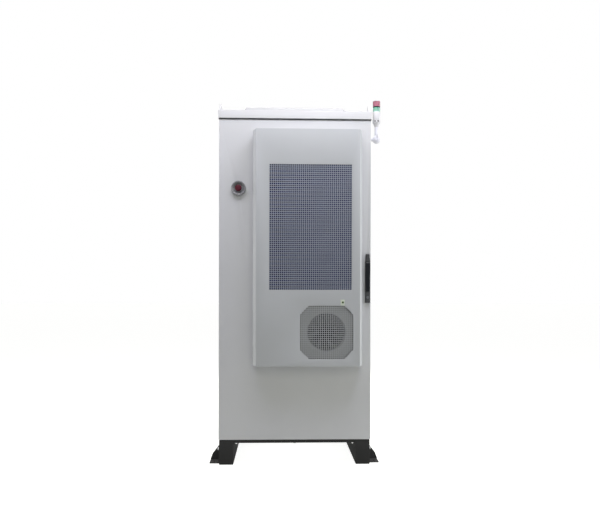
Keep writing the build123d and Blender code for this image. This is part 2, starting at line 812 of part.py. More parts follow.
strike_z = {1: door_high - strike_end_inset, -1: door_low + strike_end_inset}


def make_lock():
    half = gearbox_height / 2
    x0, x1 = handle_x - gearbox_width / 2, handle_x + gearbox_width / 2
    box = block(x0, x1, skin_back, skin_back + gearbox_depth, spindle_z - half, spindle_z + half)
    inner_back = skin_back + gearbox_depth - gearbox_wall
    box -= rod_along_y(handle_x, skin_back - 1, inner_back, spindle_z, spindle_r + run_gap)
    stop = spindle_r + gearbox_wall
    for side, name in ((1, "lock_rod_upper"), (-1, "lock_rod_lower")):
        far = spindle_z + side * (half + 1)
        near = spindle_z + side * stop
        box -= rod_along_z(handle_x, rod_y, min(near, far), max(near, far), rod_r + run_gap)
        root = spindle_z + side * (stop + rod_travel + 1)
        tip = strike_z[side] + side * rod_past_strike
        rod = rod_along_z(handle_x, rod_y, min(root, tip), max(root, tip), rod_r)
        write(name, chamfer(rod.edges().filter_by(GeomType.CIRCLE), rod_chamfer))
    write("lock_gearbox", box)

    guides = []
    for side in (1, -1):
        start = spindle_z + side * half
        for share in guide_shares:
            z = start + (strike_z[side] - start) * share
            guide = block(handle_x - guide_width / 2, handle_x + guide_width / 2, skin_back,
                          rod_y + rod_r + guide_wall, z - guide_height / 2, z + guide_height / 2)
            hole = rod_along_z(handle_x, rod_y, z - guide_height, z + guide_height, rod_r + run_gap)
            guides.append(guide - hole)
    write("rod_guides", *guides)

    strikes = []
    for side in (1, -1):
        z = strike_z[side]
        tip_y = frame_front - strike_reach
        half = strike_width / 2
        slot = strike_slot / 2
        plate = block(handle_x - half, handle_x + half, tip_y, frame_front,
                      z - strike_sheet / 2, z + strike_sheet / 2)
        plate += block(handle_x - half, handle_x + half, frame_front - strike_flange_sheet, frame_front,
                       z - strike_flange / 2, z + strike_flange / 2)
        plate -= block(handle_x - slot, handle_x + slot, tip_y - 1, rod_y + slot,
                       z - strike_sheet, z + strike_sheet)
        strikes.append(plate)
    write("strike_plates", *strikes)


# ---- emergency stop ----
def make_stop():
    front = y_front - guard_depth
    floor = y_front - guard_base
    guard = turned_along_y([(stop_neck_r + 1, y_front), (guard_r, y_front), (guard_r, front + guard_edge),
                            (guard_r - 2, front), (guard_mouth_r, front), (guard_floor_r, floor),
                            (stop_neck_r + 1, floor)], stop_x, stop_z)
    write("estop_guard_ring", guard)
    bore_end = skin_back + stop_block_depth - stop_block_wall
    bore = rod_along_y(stop_x, floor - 1, bore_end, stop_z, plunger_r + run_gap)
    half = stop_block / 2
    body = block(stop_x - half, stop_x + half, skin_back, skin_back + stop_block_depth,
                 stop_z - half, stop_z + half)
    body += rod_along_y(stop_x, floor, skin_back, stop_z, stop_neck_r)
    write("estop_contact_block", body - bore)
    head_front = front - stop_proud
    head_back = head_front + mushroom_height
    socket_front = head_front + mushroom_socket
    plunger_back = bore_end - stop_travel - 1
    write("estop_plunger", rod_along_y(stop_x, socket_front + touch_gap, plunger_back, stop_z, plunger_r))
    r = mushroom_r
    head = turned_along_y([(0, head_front), (r - mushroom_dome * 2, head_front + 1), (r - 3, head_front + 3),
                           (r, head_front + mushroom_dome + 2), (r, head_back - mushroom_skirt),
                           (r - mushroom_undercut, head_back),
                           (plunger_r + run_gap, head_back), (plunger_r + run_gap, socket_front),
                           (0, socket_front)], stop_x, stop_z)
    write("estop_mushroom", head)


# ---- air conditioner ----
cover_front = y_front - ac_depth
part_front = y_front - partition_sheet
slant_y = cover_front + ac_slant_depth


def ac_outline(inset):
    """The cover's plan, with its walls moved in by inset."""
    run = ac_front_width / 2 - inset * ac_bevel_share
    base = ac_base_width / 2 - inset
    y0 = cover_front + inset
    return [(ac_x - run, y0), (ac_x + run, y0), (ac_x + base, slant_y + inset * ac_bevel_share),
            (ac_x + base, y_front), (ac_x - base, y_front), (ac_x - base, slant_y + inset * ac_bevel_share)]


def octagon(x, z, size, corner):
    h, c = size / 2, corner
    return [(x - h, z - h + c), (x - h + c, z - h), (x + h - c, z - h), (x + h, z - h + c),
            (x + h, z + h - c), (x + h - c, z + h), (x - h + c, z + h), (x - h, z + h - c)]


def make_ac_cover():
    shell = profile_along_z(ac_outline(0), ac_bottom, ac_top)
    shell -= profile_along_z(ac_outline(ac_sheet), ac_bottom + ac_sheet, ac_top - ac_sheet)
    inner = cover_front + ac_sheet
    shell -= block(intake_x - intake_width / 2, intake_x + intake_width / 2, cover_front - 1, inner + 1,
                   intake_bottom, intake_bottom + intake_height)
    shell -= profile_along_y(octagon(fan_x, fan_z, fan_window, fan_window_corner), cover_front - 1, inner + 1)
    write("ac_cover", shell)

    gap = touch_gap
    x0, x1 = intake_x - intake_width / 2 + gap, intake_x + intake_width / 2 - gap
    z0, z1 = intake_bottom + gap, intake_bottom + intake_height - gap
    columns = int((intake_width - grille_pitch / 2) // grille_pitch)
    rows = int((intake_height - grille_pitch / 2) // grille_pitch)
    middle = intake_bottom + intake_height / 2
    holes = [(intake_x + (i - (columns - 1) / 2) * grille_pitch, middle + (j - (rows - 1) / 2) * grille_pitch,
              grille_hole) for i in range(columns) for j in range(rows)]
    intake = perforated([(x0, z0), (x1, z0), (x1, z1), (x0, z1)], holes, cover_front, inner)

    count = int((fan_window - grille_pitch / 2) // grille_pitch)
    reach = fan_window - fan_window_corner - grille_hole
    holes = []
    for i in range(count):
        for j in range(count):
            dx = (i - (count - 1) / 2) * grille_pitch
            dz = (j - (count - 1) / 2) * grille_pitch
            if abs(dx) + abs(dz) < reach - grille_hole / 4:
                holes.append((fan_x + dx, fan_z + dz, grille_hole))
    window = octagon(fan_x, fan_z, fan_window - 2 * gap, fan_window_corner)
    write("ac_grilles", intake, perforated(window, holes, cover_front, inner))

    status_x = ac_x + status_offset
    status_z = ac_bottom + status_rise
    write("ac_status_light", block(status_x - status_width / 2, status_x + status_width / 2,
                                   cover_front - status_thick, cover_front,
                                   status_z - status_height / 2, status_z + status_height / 2))


tub_back = y_front + tub_depth
blower_y = (y_front + tub_back) / 2
blower_half = blower_length / 2


def make_ac_chassis():
    flange_x = ac_back_half - ac_sheet - touch_gap
    flange_low, flange_high = ac_bottom + ac_sheet + touch_gap, ac_top - ac_sheet - touch_gap
    body = block(ac_x - flange_x, ac_x + flange_x, part_front, y_front, flange_low, flange_high)
    tray_z = ac_bottom + tray_height
    body += block(tub_x0, tub_x1, cover_front + ac_sheet + tray_front_gap, part_front,
                  tray_z, tray_z + partition_sheet)
    tub = block(tub_x0, tub_x1, y_front, tub_back, tub_low, tub_high)
    t = tub_sheet
    tub -= block(tub_x0 + t, tub_x1 - t, y_front, tub_back - t, tub_low + t, tub_high - t)
    for bottom in (ac_top - return_louvre_drop, ac_bottom + supply_louvre_rise):
        for i in range(louvre_rows):
            z = bottom + i * louvre_pitch
            tub -= block(ac_x - louvre_width / 2, ac_x + louvre_width / 2, tub_back - t - 1, tub_back + 1,
                         z, z + louvre_height)
    for side in (-1, 1):
        near = ac_x + side * (blower_half + bearing_gap)
        far = near + side * bearing_plate
        arm = block(min(near, far), max(near, far), y_front, blower_y + bearing_half,
                    blower_z - bearing_half, blower_z + bearing_half)
        tub += arm - rod_along_x(min(near, far) - 1, max(near, far) + 1, blower_y, blower_z,
                                 blower_shaft_r + run_gap)
    write("ac_chassis", body + tub)


def make_condenser():
    front = cover_front + ac_sheet + coil_front_gap
    back = front + coil_thick
    x0 = intake_x - intake_width / 2 - coil_margin
    x1 = intake_x + intake_width / 2 + coil_margin
    z0, z1 = intake_bottom - coil_margin, intake_bottom + intake_height + coil_margin
    coil = block(x0, x1, front, back, z0, z1)
    for x in (x0, x1 - coil_plate):
        coil += block(x, x + coil_plate, front, part_front, z0, z1)
    write("condenser_coil", coil)

    plate_y = cover_front + ac_sheet + shroud_front_gap
    half = shroud_size / 2
    shroud = block(fan_x - half, fan_x + half, plate_y, plate_y + shroud_sheet, fan_z - half, fan_z + half)
    shroud += rod_along_y(fan_x, plate_y, plate_y + shroud_length, fan_z, shroud_r + shroud_sheet)
    shroud -= rod_along_y(fan_x, plate_y - 1, plate_y + shroud_length + 1, fan_z, shroud_r)
    for dx in (-1, 1):
        for dz in (-1, 1):
            x = fan_x + dx * (half - shroud_post_inset)
            z = fan_z + dz * (half - shroud_post_inset)
            shroud += rod_along_y(x, plate_y, part_front, z, shroud_post_r)
    write("condenser_fan_shroud", shroud)

    fan_front = plate_y + fan_front_gap
    motor = rod_along_y(fan_x, part_front - motor_length, part_front, fan_z, motor_r)
    motor = chamfer(motor.edges().filter_by(GeomType.CIRCLE).sort_by(Axis.Y)[0], motor_edge)
    motor += rod_along_y(fan_x, fan_front + fan_front_gap + motor_shaft_gap, part_front - motor_length,
                         fan_z, motor_shaft_r)
    write("condenser_fan_motor", motor)

    hub = rod_along_y(fan_x, fan_front, fan_front + fan_width, fan_z, fan_hub_r)
    reach = shroud_r - fan_tip_gap
    chord = fan_width * fan_chord_share / cos(radians(fan_blade_angle))
    blade_plan = Box(reach - fan_hub_r + fan_blade_root, fan_blade_thick, chord)
    blade_x = (reach + fan_hub_r - fan_blade_root) / 2
    mid_y = fan_front + fan_width / 2
    for i in range(fan_blades):
        spin = 360.0 * i / fan_blades
        blade = Pos(blade_x, 0, 0) * Rot(90 - fan_blade_angle, 0, 0) * blade_plan
        hub += Pos(fan_x, mid_y, fan_z) * Rot(0, spin, 0) * blade
    drum = rod_along_y(fan_x, fan_front, fan_front + fan_width, fan_z, reach)
    hub &= drum
    hub -= rod_along_y(fan_x, fan_front + fan_front_gap, fan_front + fan_width + 1, fan_z,
                       motor_shaft_r + run_gap)
    write("condenser_fan_rotor", hub)


def make_compressor():
    tray = ac_bottom + tray_height + partition_sheet
    y = (cover_front + part_front) / 2
    top = tray + compressor_height
    r = compressor_r
    body = turned_along_z([(0, tray), (r * compressor_base_share, tray),
                           (r, tray + compressor_foot + compressor_flare),
                           (r, top - compressor_shoulder), (r * compressor_top_share, top), (0, top)],
                          compressor_x, y)
    foot_x, foot_y = r + compressor_foot_reach, r - compressor_foot_reach - 2
    body += block(compressor_x - foot_x, compressor_x + foot_x, y - foot_y, y + foot_y,
                  tray, tray + compressor_foot)
    write("compressor", body)

    coil_low = intake_bottom - coil_margin
    coil_y = cover_front + ac_sheet + coil_front_gap + coil_thick / 2
    pipes = []
    for dx, rise in zip((-pipe_gap, pipe_gap), pipe_rises):
        x = compressor_x + dx
        goal = compressor_x + pipe_shift + 2 * dx
        z = top + rise
        z_in = z + pipe_step
        path = FilletPolyline((x, y, top), (x, y, z), (goal, y, z), (goal, y, z_in), (goal, coil_y, z_in),
                              (goal, coil_y, coil_low), radius=pipe_bend)
        pipes.append(sweep(Plane(origin=(x, y, top), z_dir=(0, 0, 1)) * Circle(pipe_r), path=path))
    write("refrigerant_pipes", *pipes)


def make_evaporator():
    half = evaporator_width / 2
    write("evaporator_coil", block(ac_x - half, ac_x + half, y_front, y_front + evaporator_thick,
                                   evaporator_bottom, evaporator_bottom + evaporator_height))
    wheel = rod_along_x(ac_x - blower_half - bearing_gap - bearing_plate, ac_x + blower_half + bearing_gap
                        + bearing_plate, blower_y, blower_z, blower_shaft_r)
    for x in (ac_x - blower_half, ac_x + blower_half - blower_disc):
        wheel += rod_along_x(x, x + blower_disc, blower_y, blower_z, blower_r)
    for i in range(blower_blades):
        angle = 2 * pi * i / blower_blades
        ring = blower_r - blower_ring_inset
        spot = Pos(ac_x, blower_y + ring * cos(angle), blower_z + ring * sin(angle))
        tilt = Rot(360.0 * i / blower_blades + blower_blade_tilt, 0, 0)
        wheel += spot * tilt * Box(blower_length, blower_chord, blower_blade)
    write("evaporator_blower_wheel", wheel)


# ---- beacon on a folding bracket ----
def make_beacon():
    x, y, z = half_w + beacon_out, y_front + beacon_from_front, z_top - beacon_drop
    pole_top = z + beacon_pole_length
    plate_x = half_w + beacon_plate
    plate = block(half_w, plate_x, y - beacon_plate_width / 2, y + beacon_plate_width / 2,
                  z - beacon_plate_height / 2, z + beacon_plate_height / 2)
    plate = fillet(plate.edges().filter_by(Axis.X), beacon_plate_corner)
    ball = Pos(x, y, z) * Sphere(ball_r)
    ball += rod_along_x(plate_x, x - ball_r / 2, y, z, beacon_arm_r)
    half_slot = ball_slot / 2
    ball -= block(x - half_slot, x + half_slot, y - 2 * ball_r, y + 2 * ball_r,
                  z - tongue_disc_r - 1, z + 2 * ball_r)
    pin_end = x + half_slot + fold_pin_seat
    pin = rod_along_x(x - half_slot - 1, pin_end, y, z, fold_pin_r)
    write("beacon_bracket", plate + ball + pin)

    half = half_slot - touch_gap
    neck_top = z + ball_r + beacon_neck_gap
    neck_half = beacon_neck_depth / 2
    stem = rod_along_x(x - half, x + half, y, z, tongue_disc_r)
    stem += block(x - half, x + half, y - neck_half, y + neck_half, z, neck_top)
    stem += rod_along_z(x, y, neck_top, pole_top, beacon_pole_r)
    stem -= rod_along_x(x - half - 1, x + half + 1, y, z, fold_pin_r + run_gap)
    write("beacon_stem", stem)

    r = beacon_body_r
    cone_top = pole_top + beacon_cone_height
    tops = [cone_top + beacon_housing_height]
    for step in (beacon_green_height, beacon_ring_height, beacon_red_height, beacon_cap_height):
        tops.append(tops[-1] + step)
    cone = turned_along_z([(0, pole_top), (beacon_pole_r, pole_top), (r - beacon_flare, cone_top),
                           (r, cone_top), (r, tops[0]), (0, tops[0])], x, y)
    ring = rod_along_z(x, y, tops[1], tops[2], r - beacon_ring_inset)
    cap = turned_along_z([(0, tops[3]), (r, tops[3]), (r, tops[4] - beacon_flare),
                          (r - beacon_cap_edge_r, tops[4]), (0, tops[4])], x, y)
    write("beacon_housing", cone, ring, cap)
    lens = r - beacon_lens_inset
    write("beacon_lens_green", rod_along_z(x, y, tops[0], tops[1], lens))
    write("beacon_lens_red", rod_along_z(x, y, tops[2], tops[3], lens))


# ---- battery rack, modules and controls ----
rack_inner = module_width / 2 + rack_side_gap
rack_outer = rack_inner + rack_post
module_front = y_front + module_from_front
module_back = frame_rear - module_rear_clear
rack_front = module_front + rack_sheet
rack_top = z_top - control_head_room - control_height
shelf_space = rack_top - rack_post - rack_top_gap - floor_top - rack_first_shelf
module_pitch = (shelf_space + module_gap) / module_count
module_height = module_pitch - module_gap - rack_sheet
shelf_levels = [floor_top + rack_first_shelf + i * module_pitch for i in range(module_count)]


def make_rack():
    pieces = []
    for side in (-1, 1):
        for y0 in (rack_front, module_back - rack_post):
            x0, x1 = min(side * rack_inner, side * rack_outer), max(side * rack_inner, side * rack_outer)
            pieces.append(block(x0, x1, y0, y0 + rack_post, floor_top, rack_top))
        for z in shelf_levels:
            ledge = profile_along_y([(side * rack_inner, z), (side * (rack_inner - shelf_ledge), z),
                                     (side * (rack_inner - shelf_ledge), z + rack_sheet),
                                     (side * (rack_inner - shelf_lip_sheet), z + rack_sheet),
                                     (side * (rack_inner - shelf_lip_sheet), z + shelf_lip),
                                     (side * rack_inner, z + shelf_lip)],
                                    rack_front, module_back)
            pieces.append(ledge)
    for y0 in (rack_front, module_back - rack_post):
        pieces.append(block(-rack_inner, rack_inner, y0, y0 + rack_post, rack_top - rack_post, rack_top))
    write("battery_rack", *pieces)


def make_modules():
    modules, handles, bars = [], [], []
    half = module_width / 2
    for level in shelf_levels:
        z0 = level + rack_sheet
        z1 = z0 + module_height
        body = block(-half, half, module_front, module_back, z0, z1)
        body = chamfer(body.edges().filter_by(Axis.Y), module_edge)
        for x in (-terminal_x, terminal_x):
            t = terminal_size / 2
            tz = z1 - terminal_drop
            body += block(x - t, x + t, module_front - terminal_proud, module_front, tz - t, tz + t)
        modules.append(body)
        middle = (z0 + z1) / 2
        b, reach = handle_bar / 2, handle_bar_length / 2
        grip = module_front - handle_bar_proud
        for x in (-handle_bar_x, handle_bar_x):
            handles.append(block(x - b, x + b, grip, grip + handle_bar, middle - reach, middle + reach))
            for z in (middle - reach, middle + reach - handle_bar):
                handles.append(block(x - b, x + b, grip + handle_bar, module_front, z, z + handle_bar))
    face = module_front - terminal_proud
    for i in range(module_count - 1):
        x = terminal_x if i % 2 == 0 else -terminal_x
        low = shelf_levels[i] + rack_sheet + module_height - terminal_drop - terminal_size / 2
        high = low + module_pitch + terminal_size
        bars.append(block(x - terminal_size / 2, x + terminal_size / 2, face - busbar_thick, face, low, high))
    write("battery_modules", *modules)
    write("module_handles", *handles)
    write("busbars", *bars)


control_front = rack_front
breaker_z = rack_top + control_height / 2
pivot_y = control_front - breaker_proud * toggle_pivot_share


def make_controls():
    half = module_width / 2
    body = block(-half, half, control_front, module_back, rack_top, rack_top + control_height)
    body = chamfer(body.edges().filter_by(Axis.Y), module_edge)
    w, h = breaker_width / 2, breaker_height / 2
    body += block(breaker_x - w, breaker_x + w, control_front - breaker_proud, control_front,
                  breaker_z - h, breaker_z + h)
    well, gap = breaker_well / 2, toggle_width / 2 + touch_gap
    body -= block(breaker_x - gap, breaker_x + gap, control_front - breaker_proud - 1,
                  pivot_y + toggle_hub_r + 1, breaker_z - well, breaker_z + well)
    axle = gap + toggle_axle_seat
    body -= rod_along_x(breaker_x - axle, breaker_x + axle, pivot_y, breaker_z, toggle_axle_r + run_gap)
    write("control_box", body)
    hub = toggle_width / 2
    toggle = rod_along_x(breaker_x - hub, breaker_x + hub, pivot_y, breaker_z, toggle_hub_r)
    toggle += rod_along_x(breaker_x - axle + 1, breaker_x + axle - 1, pivot_y, breaker_z, toggle_axle_r)
    grip_x, grip_z = toggle_grip_width / 2, toggle_grip_thick / 2
    grip = block(-grip_x, grip_x, -toggle_length, 0, -grip_z, grip_z)
    toggle += Pos(breaker_x, pivot_y, breaker_z) * Rot(-toggle_tilt, 0, 0) * grip
    write("breaker_toggle", toggle)


make_plinth()
make_brackets()
make_frame()
make_floor()
make_panels()
make_roof()
make_lugs()
make_door()
make_hinges()
make_handle()
make_lock()
make_stop()
make_ac_cover()
make_ac_chassis()
make_condenser()
make_compressor()
make_evaporator()
make_beacon()
make_rack()
make_modules()
make_controls()
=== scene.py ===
"""Looks of the outdoor battery cabinet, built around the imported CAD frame.
Metres, Z up, front towards -Y."""
import json
import math

import bmesh
import bpy
from mathutils import Matrix, Vector

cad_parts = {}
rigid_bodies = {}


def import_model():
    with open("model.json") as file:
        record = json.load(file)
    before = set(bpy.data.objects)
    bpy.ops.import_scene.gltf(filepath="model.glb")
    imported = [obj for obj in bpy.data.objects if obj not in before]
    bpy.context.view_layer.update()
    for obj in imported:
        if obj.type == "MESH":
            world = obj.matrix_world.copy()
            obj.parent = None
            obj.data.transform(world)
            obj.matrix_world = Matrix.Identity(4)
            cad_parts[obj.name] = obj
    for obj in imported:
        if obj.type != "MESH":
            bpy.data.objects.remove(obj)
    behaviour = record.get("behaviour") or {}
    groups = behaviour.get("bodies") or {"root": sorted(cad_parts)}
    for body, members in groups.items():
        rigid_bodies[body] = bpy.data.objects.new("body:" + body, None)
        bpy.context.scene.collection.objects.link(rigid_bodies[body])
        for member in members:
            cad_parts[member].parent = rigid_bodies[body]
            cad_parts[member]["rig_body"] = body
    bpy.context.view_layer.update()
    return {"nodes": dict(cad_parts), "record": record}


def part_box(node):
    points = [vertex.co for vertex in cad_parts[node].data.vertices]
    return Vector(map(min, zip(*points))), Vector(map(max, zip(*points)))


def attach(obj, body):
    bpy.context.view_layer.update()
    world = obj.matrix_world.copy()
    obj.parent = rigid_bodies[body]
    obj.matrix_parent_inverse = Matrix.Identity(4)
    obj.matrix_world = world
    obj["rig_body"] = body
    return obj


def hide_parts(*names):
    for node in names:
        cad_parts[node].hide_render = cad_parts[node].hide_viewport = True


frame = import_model()
nodes = frame["nodes"]
MM = 0.001
TAU = 2 * math.pi

# ---------------------------------------------------------------- camera, with its angles in degrees
CAMERA_AT = (-0.090, -4.25, 1.044)
CAMERA_YAW = -1.806
CAMERA_ROLL = 0.125
CAMERA_LENS = 38.56
CAMERA_SHIFT_UP = 0.0585

camera = bpy.data.objects.new("camera", bpy.data.cameras.new("camera"))
bpy.context.scene.collection.objects.link(camera)
turn = Matrix.Rotation(math.radians(CAMERA_YAW), 4, "Z") @ Matrix.Rotation(math.radians(90), 4, "X")
turn = turn @ Matrix.Rotation(math.radians(CAMERA_ROLL), 4, "Z")
camera.matrix_world = Matrix.Translation(CAMERA_AT) @ turn
camera.data.lens = CAMERA_LENS
camera.data.sensor_width = 36.0
camera.data.shift_y = CAMERA_SHIFT_UP
bpy.context.scene.camera = camera
bpy.context.scene.view_settings.view_transform = "Standard"

# ---------------------------------------------------------------- light, sky and floor
AMBIENT = (0.105, 0.105, 0.108)
FLOOR_BOUNCE = (0.72, 0.73, 0.66)
FLOOR_WHITE = 0.88
FLOOR_HALF = 40.0
FLOOR_DROP = 0.4 * MM
# place, target, size, watts and colour
LAMPS = {
    "upper_right": ((0.95, -1.75, 3.35), (0, -0.45, 1.6), (1.4, 1.0), 21.0, (0.75, 0.77, 1.0)),
    "upper_left": ((-0.95, -1.75, 3.35), (0, -0.45, 1.6), (1.4, 1.0), 18.0, (0.8, 0.8, 1.0)),
    "upper_middle": ((0.15, -1.15, 2.95), (0, -0.45, 1.2), (1.6, 0.8), 14.0, (1.0, 0.98, 0.85)),
    "side_right": ((2.8, -1.6, 1.6), (0, -0.45, 1.2), (1.6, 2.6), 13.0, (1.0, 1.0, 0.9)),
    "flank_right": ((2.6, -0.1, 1.5), (0.4, -0.45, 1.3), (1.4, 2.6), 35.0, (0.97, 0.98, 1.0)),
    "flank_left": ((-2.6, -0.1, 1.5), (-0.4, -0.45, 1.3), (1.4, 2.6), 34.0, (1.0, 0.98, 0.95)),
    "front": ((0.3, -5.5, 2.6), (0, -0.45, 1.0), (2.6, 1.8), 28.0, (1.0, 1.0, 0.85)),
    "back": ((0.4, 3.4, 2.4), (0, 0.4, 1.2), (2.4, 1.8), 60.0, (1.0, 0.99, 0.97)),
}


def add_lamp(name, place, target, size, power, color):
    lamp = bpy.data.lights.new(name, "AREA")
    lamp.shape = "RECTANGLE"
    lamp.size, lamp.size_y = size
    lamp.energy = power
    lamp.color = color
    holder = bpy.data.objects.new(name, lamp)
    bpy.context.scene.collection.objects.link(holder)
    aim = (Vector(target) - Vector(place)).to_track_quat("-Z", "Y")
    holder.matrix_world = Matrix.Translation(place) @ aim.to_matrix().to_4x4()
    holder.visible_camera = False


def background_rays(tree):
    """1 for camera, mirror and glass rays, which see the white background, and 0 for the rest."""
    path = tree.nodes.new("ShaderNodeLightPath")
    gloss = tree.nodes.new("ShaderNodeMath")
    gloss.operation = "MAXIMUM"
    tree.links.new(path.outputs["Is Camera Ray"], gloss.inputs[0])
    tree.links.new(path.outputs["Is Glossy Ray"], gloss.inputs[1])
    glass = tree.nodes.new("ShaderNodeMath")
    glass.operation = "MAXIMUM"
    tree.links.new(gloss.outputs[0], glass.inputs[0])
    tree.links.new(path.outputs["Is Transmission Ray"], glass.inputs[1])
    return glass.outputs[0]


def make_world():
    world = bpy.data.worlds.new("studio")
    bpy.context.scene.world = world
    world.use_nodes = True
    tree = world.node_tree
    tree.nodes.clear()
    sky = tree.nodes.new("ShaderNodeBackground")
    sky.inputs["Color"].default_value = (*AMBIENT, 1)
    white = tree.nodes.new("ShaderNodeBackground")
    white.inputs["Color"].default_value = (1, 1, 1, 1)
    mix = tree.nodes.new("ShaderNodeMixShader")
    tree.links.new(background_rays(tree), mix.inputs[0])
    tree.links.new(sky.outputs[0], mix.inputs[1])
    tree.links.new(white.outputs[0], mix.inputs[2])
    out = tree.nodes.new("ShaderNodeOutputWorld")
    tree.links.new(mix.outputs[0], out.inputs[0])


def make_floor():
    corners = [(FLOOR_HALF * a, FLOOR_HALF * b, 0) for a, b in ((-1, -1), (1, -1), (1, 1), (-1, 1))]
    mesh = bpy.data.meshes.new("floor")
    mesh.from_pydata(corners, [], [(0, 1, 2, 3)])
    floor = bpy.data.objects.new("floor", mesh)
    bpy.context.scene.collection.objects.link(floor)
    floor.location.z = -FLOOR_DROP
    material = bpy.data.materials.new("floor")
    material.use_nodes = True
    tree = material.node_tree
    shader = tree.nodes["Principled BSDF"]
    shader.inputs["Base Color"].default_value = (*FLOOR_BOUNCE, 1)
    shader.inputs["Roughness"].default_value = 0.9
    shader.inputs["Specular IOR Level"].default_value = 0.1
    shader.inputs["Emission Color"].default_value = (1, 1, 1, 1)
    scale = tree.nodes.new("ShaderNodeMath")
    scale.operation = "MULTIPLY"
    scale.inputs[1].default_value = FLOOR_WHITE
    tree.links.new(background_rays(tree), scale.inputs[0])
    tree.links.new(scale.outputs[0], shader.inputs["Emission Strength"])
    mesh.materials.append(material)


make_world()
make_floor()
for lamp_name, settings in LAMPS.items():
    add_lamp(lamp_name, *settings)


# ---------------------------------------------------------------- materials
def ramp_between(tree, source, low, high, color_a, color_b):
    ramp = tree.nodes.new("ShaderNodeValToRGB")
    ramp.color_ramp.elements[0].position = low
    ramp.color_ramp.elements[0].color = (*color_a, 1)
    ramp.color_ramp.elements[1].position = high
    ramp.color_ramp.elements[1].color = (*color_b, 1)
    tree.links.new(source, ramp.inputs[0])
    return ramp.outputs[0]


def noise(tree, scale, detail):
    place = tree.nodes.new("ShaderNodeTexCoord")
    texture = tree.nodes.new("ShaderNodeTexNoise")
    texture.inputs["Scale"].default_value = scale
    texture.inputs["Detail"].default_value = detail
    tree.links.new(place.outputs["Object"], texture.inputs["Vector"])
    return texture.outputs["Fac"]


def shade(color, factor):
    return tuple(min(1.0, c * factor) for c in color)


DUST_COLOR = (0.55, 0.53, 0.49)


def finish_of(name, color, rough, metal=0.0, mottle=0.05, mottle_scale=4.0, grain=700.0, grain_height=0.03,
              rough_range=0.08, dust=0.0, specular=0.5):
    """A surface with slow colour mottling, a fine grained bump and dust on what faces up. grain_height is
    in millimetres."""
    material = bpy.data.materials.new(name)
    material.use_nodes = True
    tree = material.node_tree
    shader = tree.nodes["Principled BSDF"]
    slow = noise(tree, mottle_scale, 4.0)
    tint = ramp_between(tree, slow, 0.3, 0.7, shade(color, 1 - mottle), shade(color, 1 + mottle))
    if dust:
        facing = tree.nodes.new("ShaderNodeNewGeometry")
        split = tree.nodes.new("ShaderNodeSeparateXYZ")
        tree.links.new(facing.outputs["Normal"], split.inputs[0])
        settle = tree.nodes.new("ShaderNodeMath")
        settle.operation = "MULTIPLY"
        settle.use_clamp = True
        tree.links.new(split.outputs["Z"], settle.inputs[0])
        settle.inputs[1].default_value = dust
        mix = tree.nodes.new("ShaderNodeMixRGB")
        mix.inputs["Color2"].default_value = (*DUST_COLOR, 1)
        tree.links.new(settle.outputs[0], mix.inputs["Fac"])
        tree.links.new(tint, mix.inputs["Color1"])
        tint = mix.outputs[0]
    tree.links.new(tint, shader.inputs["Base Color"])
    fine = noise(tree, grain, 2.0)
    spread = tree.nodes.new("ShaderNodeMapRange")
    spread.inputs["To Min"].default_value = rough - rough_range
    spread.inputs["To Max"].default_value = rough + rough_range
    tree.links.new(slow, spread.inputs["Value"])
    tree.links.new(spread.outputs[0], shader.inputs["Roughness"])
    bump = tree.nodes.new("ShaderNodeBump")
    bump.inputs["Strength"].default_value = 0.6
    bump.inputs["Distance"].default_value = grain_height * MM
    tree.links.new(fine, bump.inputs["Height"])
    tree.links.new(bump.outputs[0], shader.inputs["Normal"])
    shader.inputs["Metallic"].default_value = metal
    shader.inputs["Specular IOR Level"].default_value = specular
    return material


def lens_of(name, color, deep):
    """Tinted translucent plastic."""
    material = finish_of(name, color, 0.22, mottle=0.04, grain=400.0, grain_height=0.01, rough_range=0.03)
    shader = material.node_tree.nodes["Principled BSDF"]
    shader.inputs["Transmission Weight"].default_value = 0.35
    shader.inputs["Subsurface Weight"].default_value = 0.4
    shader.inputs["Subsurface Radius"].default_value = deep
    shader.inputs["Subsurface Scale"].default_value = 0.01
    shader.inputs["IOR"].default_value = 1.49
    shader.inputs["Coat Weight"].default_value = 0.5
    return material


